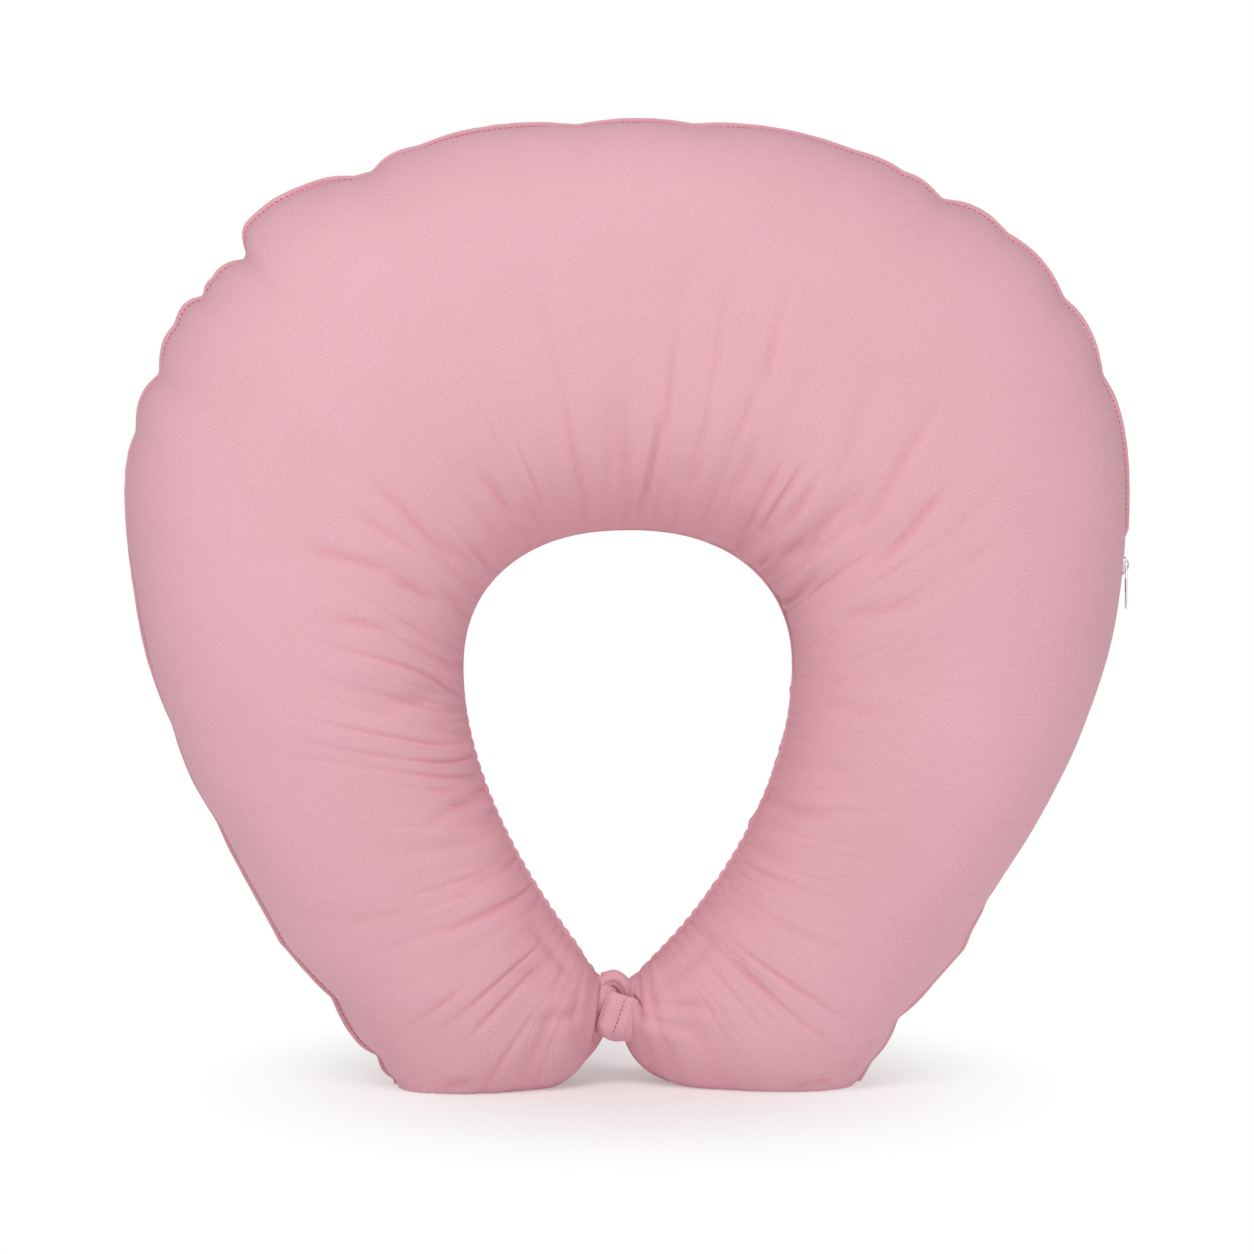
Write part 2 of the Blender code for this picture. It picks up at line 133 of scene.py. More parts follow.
class Graph:
    """One material's node tree, with a Principled shader ready to be fed."""

    def __init__(self, name: str) -> None:
        """Makes an empty material.

        Args:
            name: The material's name.
        """
        self.material = bpy.data.materials.new(name)
        self.material.use_nodes = True
        self.tree = self.material.node_tree
        self.shader = self.tree.nodes["Principled BSDF"]

    def feed(self, target: bpy.types.NodeSocket, value: object) -> None:
        """Links a socket or sets a constant.

        Args:
            target: The input socket.
            value: A Socket, a number, or a tuple.
        """
        if isinstance(value, Socket):
            self.tree.links.new(value.socket, target)
            return
        if target.type == "RGBA" and len(value) == 3:
            value = (*value, 1.0)
        target.default_value = value

    def node(self, kind: str, settings: dict | None = None, values: dict | None = None,
             output: int | str = 0) -> Socket:
        """Adds any node.

        Args:
            kind: The node's type.
            settings: Its properties, set before its sockets.
            values: Values or links of its inputs, by name or number.
            output: Which output to return.

        Returns:
            The chosen output.
        """
        made = self.tree.nodes.new(kind)
        for name, value in (settings or {}).items():
            setattr(made, name, value)
        for name, value in (values or {}).items():
            self.feed(made.inputs[name], value)
        return Socket(self, made.outputs[output])

    def colour(self, factor: Socket, low: tuple, high: tuple) -> Socket:
        """Mixes two colours by a factor."""
        values = {"Factor": factor, 6: low, 7: high}
        return self.node("ShaderNodeMix", {"data_type": "RGBA"}, values, 2)

    def coordinates(self, scale: tuple = (1, 1, 1), from_uv: bool = False) -> Socket:
        """Object or UV coordinates, scaled.

        Args:
            scale: How much each axis is multiplied by.
            from_uv: Whether the piece's own UV map is read.

        Returns:
            The scaled vector.
        """
        source = "UV" if from_uv else "Object"
        vector = self.node("ShaderNodeTexCoord", output=source)
        return self.node("ShaderNodeMapping", {}, {"Vector": vector, "Scale": scale})

    def noise(self, vector: Socket, scale: float, detail: float = 2.0) -> Socket:
        """A noise value at a scale."""
        values = {"Vector": vector, "Scale": scale, "Detail": detail}
        return self.node("ShaderNodeTexNoise", {}, values)

    def set(self, **inputs: object) -> None:
        """Feeds the Principled shader; underscores stand for spaces."""
        for name, value in inputs.items():
            self.feed(self.shader.inputs[name.replace("_", " ").title()
                                         .replace("Ior", "IOR")], value)

    def bump(self, height: Socket, strength: float, distance: float) -> None:
        """Feeds the shader's normal from a height."""
        values = {"Height": height, "Strength": strength, "Distance": distance}
        self.feed(self.shader.inputs["Normal"], self.node("ShaderNodeBump", {}, values))


@dataclass(frozen=True)
class WovenFinish:
    """Plain-woven cloth: threads, slubs, slow mottling, a soft sheen, and painted shade where given.
    """

    name: str
    colour: tuple
    shade: tuple
    pitch: float = 0.00075
    twill: float = 0.34
    mottle: float = 0.20
    sheen: float = 0.05
    roughness: float = 0.9
    bump: float = 0.32
    # The painted shade's colour, darker and deeper, mixed in where the piece's attribute asks for it.
    tuck: tuple | None = None
    bend_scale: float = 330.0
    bend_amount: float = 9.0
    slub_long: float = 260.0
    slub_wide: float = 2600.0
    slub_range: tuple = (0.6, 1.4)
    slub_share: float = 0.22
    cloud_scale: float = 9.0
    cloud_range: tuple = (0.3, 0.7)
    grain_scale: float = 1000.0
    grain_range: tuple = (0.34, 0.66)
    grain_share: float = 0.38
    twill_share: float = 0.40
    painted_shade_share: float = 0.35
    weave_rise: float = 0.4
    slub_rise: float = 0.8
    grain_rise: float = 1.6
    twill_rise: float = 0.4
    rise: float = 0.00026
    sheen_roughness: float = 0.45
    sheen_tint: tuple = (1.0, 0.9, 0.93)
    specular: float = 0.25

    def build(self) -> bpy.types.Material:
        """Makes the material.

        Returns:
            The cloth's material.
        """
        graph = Graph(self.name)
        flat = graph.coordinates(from_uv=True)
        parts = graph.node("ShaderNodeSeparateXYZ", {}, {"Vector": flat})
        across = Socket(graph, parts.socket.node.outputs["Y"])
        turns = 2 * math.pi / self.pitch
        warp = (parts * turns).sine()
        weft = (across * turns).sine()
        weave = warp * weft
        bend_at = graph.coordinates((self.bend_scale, self.bend_scale, 1), True)
        bend = graph.noise(bend_at, 1.0, 1.0) * self.bend_amount
        twill = ((parts + across) * (turns * self.twill) + bend).sine()
        long, wide = self.slub_long, self.slub_wide
        slub_u = graph.noise(graph.coordinates((long, wide, 1), True), 1.0, 1.0)
        slub_v = graph.noise(graph.coordinates((wide, long, 1), True), 1.0, 1.0)
        slubs = (slub_u + slub_v).between(*self.slub_range)
        clouds = graph.noise(graph.coordinates(), self.cloud_scale, 3.0)
        clouds = clouds.between(*self.cloud_range)
        grain = graph.noise(flat, self.grain_scale, 2.0).between(*self.grain_range)
        blend = (slubs * self.slub_share + clouds * self.mottle + grain * self.grain_share
                 + twill.between(-1.0, 1.0) * (self.twill_share - self.mottle))
        colour = graph.colour(blend, self.shade, self.colour)
        # Painted shade: a darker colour mixed in by a point attribute of the piece, for its creases
        # and the cloth near the opening.
        if self.tuck:
            painted_shade_mask = graph.node("ShaderNodeAttribute", {"attribute_name": "tuck"}, {}, "Fac")
            colour = graph.colour(painted_shade_mask * self.painted_shade_share, colour, self.tuck)
        graph.set(base_color=colour, roughness=self.roughness, sheen_weight=self.sheen,
                  sheen_roughness=self.sheen_roughness, specular_ior_level=self.specular)
        graph.feed(graph.shader.inputs["Sheen Tint"], self.sheen_tint)
        height = (weave * self.weave_rise + slubs * self.slub_rise + grain * self.grain_rise
                  + twill * self.twill_rise)
        graph.bump(height, self.bump, self.rise)
        return graph.material


# ---------------------------------------------------------------- shape of the pillow


class Lattice:
    """Smooth seeded noise between -1 and 1."""

    SIZE = 256

    def __init__(self, seed: int) -> None:
        """Draws the lattice of random values."""
        self.values = np.random.default_rng(seed).uniform(-1, 1, (self.SIZE, self.SIZE))

    def at(self, u: np.ndarray, v: np.ndarray | float = 0.0) -> np.ndarray:
        """Noise at places.

        Args:
            u: First coordinates, one lattice cell to a unit.
            v: Second coordinates.

        Returns:
            The values, of the broadcast shape.
        """
        u, v = np.broadcast_arrays(u, v)
        column, row = np.floor(u).astype(int), np.floor(v).astype(int)
        right, up = u - column, v - row
        right = right * right * (3 - 2 * right)
        up = up * up * (3 - 2 * up)
        size = self.SIZE
        near = self.values[column % size, row % size]
        far = self.values[(column + 1) % size, row % size]
        near_up = self.values[column % size, (row + 1) % size]
        far_up = self.values[(column + 1) % size, (row + 1) % size]
        low = near + (far - near) * right
        high = near_up + (far_up - near_up) * right
        return low + (high - low) * up


def bezier(controls: tuple, t: np.ndarray) -> np.ndarray:
    """Points of a cubic curve.

    Args:
        controls: Four control points.
        t: Parameters from 0 to 1.

    Returns:
        One row for each parameter.
    """
    points = np.array(controls, float)
    t = np.asarray(t)[:, None]
    return ((1 - t) ** 3 * points[0] + 3 * t * (1 - t) ** 2 * points[1]
            + 3 * t * t * (1 - t) * points[2] + t**3 * points[3])


def lengths_along(points: np.ndarray) -> np.ndarray:
    """Distance along a polyline at each of its points."""
    steps = np.linalg.norm(np.diff(points, axis=0), axis=1)
    return np.concatenate([[0.0], np.cumsum(steps)])


def resampled(values: np.ndarray, at: np.ndarray, where: np.ndarray) -> np.ndarray:
    """Columns of values, known at places, read at other places."""
    return np.stack([np.interp(where, at, column) for column in values.T], axis=1)


def smooth_step(value: np.ndarray) -> np.ndarray:
    """Eases 0 to 1, clamped at both ends."""
    value = np.clip(value, 0, 1)
    return value * value * (3 - 2 * value)

def signed_power(value: np.ndarray, power: float) -> np.ndarray:
    """A value raised to a power, with its sign kept."""
    return np.sign(value) * np.abs(value) ** power


def directions(path: np.ndarray) -> np.ndarray:
    """Unit directions along a path, one for each of its points."""
    forward = np.gradient(path, axis=0)
    return forward / np.linalg.norm(forward, axis=1)[:, None]


def distance_across(points: np.ndarray) -> np.ndarray:
    """Distance from the first column, along each row of a grid of points."""
    steps = np.linalg.norm(np.diff(points, axis=1), axis=2)
    return np.concatenate([np.zeros((len(points), 1)), np.cumsum(steps, axis=1)], axis=1)


def in_legs(z: np.ndarray) -> np.ndarray:
    """1 low in the arms, easing to 0 above them."""
    return smooth_step((LEGS_TOP_Z - z) / LEGS_RAMP)


@dataclass(frozen=True)
class Scallop:
    """A place where the outer seam is drawn in between two soft lobes.

    The place is a clock angle in degrees about the middle of the pillow's widest line.
    """

    angle: float
    depth: float
    reach: float
    upper_reach: float | None = None


@dataclass(frozen=True)
class Crease:
    """A long soft crease on the front, between two points of the seam plane."""

    start: tuple
    end: tuple
    width: float
    depth: float


SCALLOPS = (
    Scallop(140.5, -0.0030, 0.028),
    Scallop(146.8, 0.0150, 0.014, 0.0045),
    Scallop(151.6, 0.0050, 0.011),
    Scallop(153.8, 0.0075, 0.009, 0.006),
    Scallop(158.5, 0.0045, 0.012),
    Scallop(164.4, 0.0095, 0.014),
    Scallop(171.9, 0.0045, 0.014),
    Scallop(130.0, 0.0030, 0.012),
    Scallop(127.6, 0.0070, 0.018, 0.012),
    Scallop(120.5, 0.0025, 0.014),
    Scallop(98.0, 0.0040, 0.022),
    Scallop(80.0, 0.0030, 0.020),
    Scallop(57.0, 0.0020, 0.022),
    Scallop(50.0, 0.0025, 0.012),
    Scallop(44.0, 0.0078, 0.014),
    Scallop(35.0, 0.0030, 0.012),
    Scallop(25.0, 0.0045, 0.014),
    Scallop(14.8, 0.0050, 0.016),
    Scallop(190.0, 0.0025, 0.060),
    Scallop(206.0, 0.0034, 0.026),
    Scallop(218.0, 0.0030, 0.020),
    Scallop(233.3, -0.0090, 0.034),
    Scallop(236.0, -0.0026, 0.070),
    Scallop(239.7, 0.0030, 0.010),
    Scallop(245.6, 0.0055, 0.008),
    Scallop(248.0, 0.0035, 0.005),
    Scallop(249.8, -0.0055, 0.007),
    Scallop(-54.5, -0.0095, 0.030),
    Scallop(-62.3, 0.0055, 0.012, 0.016),
    Scallop(-66.5, 0.0035, 0.014),
    Scallop(-69.5, -0.0020, 0.008),
)

CREASES = (
    Crease((0.016, 0.386), (0.004, 0.322), 0.0024, 0.0021),
    Crease((-0.182, 0.308), (-0.132, 0.294), 0.0036, 0.0016),
    Crease((-0.176, 0.268), (-0.126, 0.262), 0.0038, 0.0013),
    Crease((-0.158, 0.330), (-0.112, 0.300), 0.0040, 0.0012),
    Crease((-0.137, 0.292), (-0.104, 0.275), 0.0034, 0.0013),
    Crease((0.045, 0.372), (0.030, 0.335), 0.0036, 0.0010),
    Crease((0.128, 0.330), (0.098, 0.300), 0.0050, 0.0012),
    Crease((0.165, 0.280), (0.110, 0.268), 0.0045, 0.0010),
    Crease((-0.090, 0.352), (-0.066, 0.322), 0.0045, 0.0012),
    Crease((-0.150, 0.215), (-0.100, 0.225), 0.0050, 0.0010),
    Crease((0.150, 0.212), (0.100, 0.222), 0.0050, 0.0010),
    Crease((-0.120, 0.150), (-0.072, 0.172), 0.0042, 0.0012),
    Crease((0.122, 0.152), (0.066, 0.166), 0.0042, 0.0012),
    Crease((-0.060, 0.100), (-0.030, 0.062), 0.0036, 0.0020),
    Crease((-0.074, 0.074), (-0.026, 0.054), 0.0040, 0.0018),
    Crease((-0.062, 0.040), (-0.024, 0.044), 0.0042, 0.0016),
    Crease((0.052, 0.094), (0.012, 0.056), 0.0044, 0.0016),
    Crease((0.040, 0.036), (0.002, 0.044), 0.0036, 0.0020),
    Crease((0.052, 0.050), (0.004, 0.049), 0.0036, 0.0022),
    Crease((0.0020, 0.0520), (0.0090, 0.0440), 0.0016, 0.0040),
    Crease((-0.0150, 0.0600), (-0.0180, 0.0240), 0.0018, 0.0036),
    Crease((-0.108, 0.006), (-0.086, 0.009), 0.0028, 0.0020),
    Crease((0.142, 0.036), (0.121, 0.008), 0.0026, 0.0022),
    Crease((0.116, 0.008), (0.088, 0.004), 0.0024, 0.0024),
)


@dataclass
class PillowForm:
    """The stuffed tube: its two rails in the seam plane and its section.

    Sizes come from the front panel's box in the model, and the shape between them is set here.
    """

    width: float
    height: float
    depth: float
    waist_z: float = 0.330
    crown_power: float = 2.25
    side_radius: float = 0.355
    side_sweep: float = math.radians(42)
    lobe_press: float = 0.010
    left_sole_z: float = 0.003
    right_sole_z: float = -0.006
    right_tip_drop: float = 0.0055
    lobe_foot_x: float = 0.100
    opening_half_width: float = 0.0930
    opening_top_z: float = 0.3132
    opening_waist_z: float = 0.235
    left_tip_x: float = 0.012
    right_tip_x: float = -0.002
    knot_z: float = 0.0445
    mouth_half_height: float = 0.014
    mouth_half_depth: float = 0.0135
    section_power: float = 2.3
    arm_taper: float = 0.45
    tip_power: float = 5.0
    pinch: float = 0.027
    notch: float = 0.0034
    notch_width: float = 0.0060
    edge_share: float = 12.0
    panel_draw: float = 0.80
    panel_blur: int = 13
    rail_samples: int = 400
    scallops: tuple = SCALLOPS
    scallop_power: float = 1.3
    panel_grid: float = 0.001
    hip_handle: float = 0.045
    foot_handle: float = 0.048
    sole_handle: float = 0.052
    tip_handle: float = 0.010
    inner_handle: float = 0.075
    inner_bend: tuple = (0.036, 0.086)
    inner_tip_shift: float = 0.0016
    pinch_power: float = 1.2
    notch_full_width: float = 0.05

    def __post_init__(self) -> None:
        """Works out both rails and the half depth, evenly spaced along the arm."""
        left = self._half(self.left_tip_x, self.left_sole_z, 0.0)
        right = self._half(self.right_tip_x, self.right_sole_z, self.right_tip_drop)
        left[:, [0, 2]] *= -1
        table = np.concatenate([left[:0:-1], right])
        along = (lengths_along(table[:, 0:2]) + lengths_along(table[:, 2:4])) / 2
        self.length = float(along[-1])
        self.places = along / self.length
        self.outer_length = lengths_along(table[:, 0:2])
        self.inner_length = lengths_along(table[:, 2:4])
        drawn = self._drawn_in(table[:, 0:2])
        soft = np.where(drawn > 0, drawn * self.panel_draw, drawn)
        even = np.arange(0, self.outer_length[-1], self.panel_grid)
        level = np.interp(even, self.outer_length, soft)
        window = np.hanning(self.panel_blur)
        padded = np.pad(level, self.panel_blur // 2, mode="edge")
        level = np.convolve(padded, window / window.sum(), mode="valid")[:len(even)]
        soft = np.interp(self.outer_length, even, level)
        self.table = np.column_stack([table, drawn, soft])

    def _drawn_in(self, outer: np.ndarray) -> np.ndarray:
        """How far the scallops draw the outer seam in.

        Args:
            outer: The outer rail's points.

        Returns:
            One distance for each point.
        """
        clock = np.degrees(np.arctan2(outer[:, 1] - self.waist_z, outer[:, 0])) % 360
        drawn = np.zeros(len(outer))
        for scallop in self.scallops:
            away = np.abs((clock - scallop.angle + 180) % 360 - 180)
            nearest = int(np.argmin(away))
            distance = self.outer_length - self.outer_length[nearest]
            upper = scallop.upper_reach or scallop.reach
            reach = np.where(distance > 0, upper, scallop.reach)
            drawn += scallop.depth * np.exp(-(np.abs(distance / reach) ** self.scallop_power))
        return drawn

    def _half(self, tip_x: float, sole_z: float, drop: float) -> np.ndarray:
        """Rails and half depth from the top of the crown to one tip, on the +X side.

        Args:
            tip_x: Where the tip ends.
            sole_z: How high the sole is drawn on its way to the tip.
            drop: How far the tip's lower side hangs below the mouth.

        Returns:
            Rows of outer x and z, inner x and z, and half depth.
        """
        count = self.rail_samples
        angle = np.linspace(math.pi / 2, 0, count, endpoint=False)
        power = 2 / self.crown_power
        across, up = np.cos(angle) ** power, np.sin(angle) ** power
        crown = np.stack([
            self.width / 2 * across,
            self.waist_z + (self.height - self.waist_z) * up,
            self.opening_half_width * across,
            self.opening_waist_z + (self.opening_top_z - self.opening_waist_z) * up,
            np.full(count, self.depth / 2),
        ], axis=1)
        turn = np.linspace(0, self.side_sweep, count)
        centre = self.width / 2 - self.side_radius
        side = np.stack([centre + self.side_radius * np.cos(turn),
                         self.waist_z - self.side_radius * np.sin(turn)], axis=1)
        hip = side[-1]
        heading = np.array([math.sin(self.side_sweep), math.cos(self.side_sweep)])
        foot = (self.lobe_foot_x, -self.lobe_press)
        steps = np.linspace(0, 1, count)[1:]
        lobe = bezier((hip, hip - self.hip_handle * heading,
                       (foot[0] + self.foot_handle, foot[1]), foot), steps)
        tip = (tip_x, self.knot_z - self.mouth_half_height - drop)
        sole = bezier((foot, (foot[0] - self.sole_handle, foot[1]),
                       (tip_x + self.tip_handle, sole_z), tip), steps)
        outer = np.concatenate([side, lobe, sole])
        along = lengths_along(outer)
        share = along / along[-1]
        inner = bezier((
            (self.opening_half_width, self.opening_waist_z),
            (self.opening_half_width, self.opening_waist_z - self.inner_handle),
            self.inner_bend,
            (tip_x + self.inner_tip_shift, self.knot_z + self.mouth_half_height),
        ), share)
        fullness = (1 - self.arm_taper * share) * np.sqrt(np.clip(1 - share**self.tip_power, 0, 1))
        from_tip = along[-1] - along
        fullness *= 1 - np.exp(-((from_tip / self.pinch) ** self.pinch_power))
        half_depth = self.mouth_half_depth + (self.depth / 2 - self.mouth_half_depth) * fullness
        return np.concatenate([crown, np.column_stack([outer, inner, half_depth])])

    def rails(self, t: np.ndarray) -> np.ndarray:
        """Rows of outer x and z, inner x and z, half depth, the seam's draw-in and the panel's."""
        return resampled(self.table, self.places, np.asarray(t, float))

    def place_at(self, clock: float) -> float:
        """The place along the arm where the outer seam passes a clock angle.

        Args:
            clock: The angle in degrees about the middle of the widest line.

        Returns:
            The place.
        """
        outer = self.table[:, 0:2]
        angle = np.degrees(np.arctan2(outer[:, 1] - self.waist_z, outer[:, 0]))
        away = np.abs((angle - clock + 180) % 360 - 180)
        return float(self.places[int(np.argmin(away))])

    def seam(self, t: np.ndarray, inner: bool) -> tuple[np.ndarray, np.ndarray]:
        """One rail with its scallops, and the directions that point away from the stuffing.

        Args:
            t: Places along the arm.
            inner: Whether it is the seam round the opening.

        Returns:
            Points and unit directions in the seam plane.
        """
        rails = self.rails(t)
        span = rails[:, 0:2] - rails[:, 2:4]
        heading = span / np.linalg.norm(span, axis=1)[:, None]
        if inner:
            return rails[:, 2:4], -heading
        return rails[:, 0:2] - heading * rails[:, 5:6], heading

    def sections(self, t: np.ndarray, turn: np.ndarray, side: Side,
                 inset: float = 0.0) -> tuple[np.ndarray, np.ndarray]:
        """Points on one half of the tube and the flat pattern that it was cut from.

        Args:
            t: Places along the arm, from the left tip to the right tip.
            turn: Angles across the section for each place, from 0 at the outer seam to pi.
            side: Which half.
            inset: How far inside the cover's surface.

        Returns:
            Points of shape (places, angles, 3) and pattern coordinates of shape (places, angles, 2).
        """
        rails = self.rails(t)
        outer, inner = rails[:, 0:2], rails[:, 2:4]
        span = outer - inner
        half_width = np.linalg.norm(span, axis=1) / 2
        heading = span / (2 * half_width[:, None])
        middle = (outer + inner) / 2
        power = 2 / self.section_power
        cosine, sine = np.cos(turn), np.clip(np.sin(turn), 0, 1)
        reach = signed_power(cosine, power)
        half_depth = rails[:, 4] - inset
        depth = half_depth[:, None] * sine**power
        across = (half_width - inset)[:, None] * reach
        edge = ((1 + reach) / 2) ** self.edge_share
        across = across - rails[:, 6:7] * edge
        small = np.clip(half_width / self.notch_full_width, 0, 1)
        notch = (self.notch * small)[:, None] * np.exp(-((depth / self.notch_width) ** 2))
        across -= np.sign(reach) * notch
        points = np.empty((*turn.shape, 3))
        points[..., 0] = middle[:, 0:1] + across * heading[:, 0:1]
        points[..., 1] = side.value * depth
        points[..., 2] = middle[:, 1:2] + across * heading[:, 1:2]
        steps = np.hypot(np.diff(across, axis=1), np.diff(depth, axis=1))
        run = np.concatenate([np.zeros((len(rails), 1)), np.cumsum(steps, axis=1)], axis=1)
        from_middle = run[:, -1:] / 2 - run
        pattern = middle[:, None, :] + from_middle[..., None] * heading[:, None, :]
        return points, pattern


# ---------------------------------------------------------------- mesh helpers


def deselect() -> None:
    """Deselects every object."""
    bpy.ops.object.select_all(action="DESELECT")


def active(piece: bpy.types.Object) -> None:
    """Makes a piece the only selected object and the active one.

    Args:
        piece: The object.
    """
    deselect()
    piece.select_set(True)
    bpy.context.view_layer.objects.active = piece


def apply_all(piece: bpy.types.Object) -> None:
    """Applies every modifier of a piece, in order.

    Args:
        piece: The mesh object.
    """
    active(piece)
    for modifier in list(piece.modifiers):
        bpy.ops.object.modifier_apply(modifier=modifier.name)


def thicken(piece: bpy.types.Object, wall: float, offset: float = 0.0) -> None:
    """Gives a sheet its thickness.

    Args:
        piece: The sheet.
        wall: How thick it becomes.
        offset: 0 puts the wall on both sides of the sheet, and -1 puts it behind.
    """
    thick = piece.modifiers.new("wall", "SOLIDIFY")
    thick.thickness = wall
    thick.offset = offset
    apply_all(piece)


def outward(piece: bpy.types.Object, merge: float = 0.0) -> None:
    """Merges doubled points if asked to, and turns a closed piece's faces outwards.

    Args:
        piece: The mesh object.
        merge: Points nearer than this become one; 0 leaves them.
    """
    active(piece)
    bpy.ops.object.mode_set(mode="EDIT")
    bpy.ops.mesh.select_all(action="SELECT")
    if merge:
        bpy.ops.mesh.remove_doubles(threshold=merge)
    bpy.ops.mesh.normals_make_consistent(inside=False)
    bpy.ops.object.mode_set(mode="OBJECT")


def place(piece: bpy.types.Object, matrix: Matrix) -> None:
    """Turns and moves a piece's mesh, leaving its object at the origin."""
    piece.data.transform(matrix @ piece.matrix_world)
    piece.matrix_world = Matrix.Identity(4)


def joined(name: str, pieces: list) -> bpy.types.Object:
    """Joins mesh objects into one.

    Args:
        name: The joined piece's name.
        pieces: The objects; the first one takes in the others.

    Returns:
        The joined piece.
    """
    deselect()
    for piece in pieces:
        piece.select_set(True)
    bpy.context.view_layer.objects.active = pieces[0]
    bpy.ops.object.join()
    pieces[0].name = pieces[0].data.name = name
    return pieces[0]


def grid_piece(name: str, points: np.ndarray, pattern: np.ndarray) -> bpy.types.Object:
    """A grid primitive laid over rows of points, with its flat pattern as UV.

    Args:
        name: The piece's name.
        points: Rows of points, of shape (rows, columns, 3).
        pattern: Their pattern coordinates, of shape (rows, columns, 2).

    Returns:
        The sheet.
    """
    rows, columns = points.shape[:2]
    deselect()
    bpy.ops.mesh.primitive_grid_add(x_subdivisions=columns - 1, y_subdivisions=rows - 1, size=1)
    piece = bpy.context.object
    piece.name = piece.data.name = name
    piece.data.vertices.foreach_set("co", points.reshape(-1))
    corner = np.empty(len(piece.data.loops), np.int32)
    piece.data.loops.foreach_get("vertex_index", corner)
    piece.data.uv_layers[0].data.foreach_set("uv", pattern.reshape(-1, 2)[corner].reshape(-1))
    piece.data.update()
    return piece


def tube_piece(name: str, rings: np.ndarray, capped: bool = True) -> bpy.types.Object:
    """A closed tube through rings of points; its UV runs along it and around it, in metres.

    Args:
        name: The piece's name.
        rings: Shape (rings, points round, 3), without a repeated last point.
        capped: Whether each end is drawn in to its middle.

    Returns:
        The closed piece.
    """
    if capped:
        first, last = rings[0].mean(axis=0), rings[-1].mean(axis=0)
        count = rings.shape[1]
        start = np.broadcast_to(first, (count, 3))[None]
        end = np.broadcast_to(last, (count, 3))[None]
        rings = np.concatenate([start, rings, end])
    rings = np.concatenate([rings, rings[:, :1]], axis=1)
    along = lengths_along(rings.mean(axis=1))
    around = np.linspace(0, 1, rings.shape[1])
    girth = np.linalg.norm(np.diff(rings, axis=1), axis=2).sum(axis=1).mean()
    pattern = np.stack(np.meshgrid(along, around * girth, indexing="ij"), axis=-1)
    piece = grid_piece(name, rings, pattern)
    outward(piece, merge=MERGE_NEAR)
    return piece


def scattered(name: str, template: bpy.types.Object, matrices: list) -> bpy.types.Object:
    """Copies one modelled shape to many places, as one mesh.

    Args:
        name: The new piece's name.
        template: The modelled shape, which is removed.
        matrices: One for each copy.

    Returns:
        The new piece.
    """
    copies = []
    for matrix in matrices:
        copy = template.copy()
        copy.data = template.data.copy()
        copy.data.transform(matrix)
        bpy.context.collection.objects.link(copy)
        copies.append(copy)
    bpy.data.objects.remove(template)
    return joined(name, copies)


def finish_piece(piece: bpy.types.Object, material: bpy.types.Material, body: str, slot: str,
                 *nodes: str) -> bpy.types.Object:
    """Smooths, paints and mounts a finished piece.

    Args:
        piece: The mesh object, in place.
        material: Its finish.
        body: The body it moves with.
        slot: The record's material slot; not used.
        nodes: The CAD nodes that it stands for.

    Returns:
        The same piece.
    """
    active(piece)
    bpy.ops.object.shade_smooth()
    piece.data.materials.clear()
    piece.data.materials.append(material)
    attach(piece, body)
    if nodes:
        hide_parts(*nodes)
    LOG.info("%s: %d faces", piece.name, len(piece.data.polygons))
    return piece


# ---------------------------------------------------------------- cover


@dataclass(frozen=True)
class Gather:
    """One size of fold that a gathered seam throws: its spacing, height, and start and end."""

    spacing: float
    height: float
    start: float
    length: float


INNER_GATHERS = (
    Gather(0.0060, 0.00035, 0.012, 0.085),
    Gather(0.0100, 0.00080, 0.022, 0.105),
    Gather(0.0210, 0.00140, 0.036, 0.140),
)
INNER_TUCKS = (
    Gather(0.0065, 0.00060, 0.018, 0.100),
    Gather(0.0115, 0.00110, 0.030, 0.120),
    Gather(0.0230, 0.00130, 0.045, 0.155),
)
OUTER_GATHERS = (
    Gather(0.0150, 0.00030, 0.002, 0.024),
    Gather(0.0330, 0.00070, 0.004, 0.045),
)


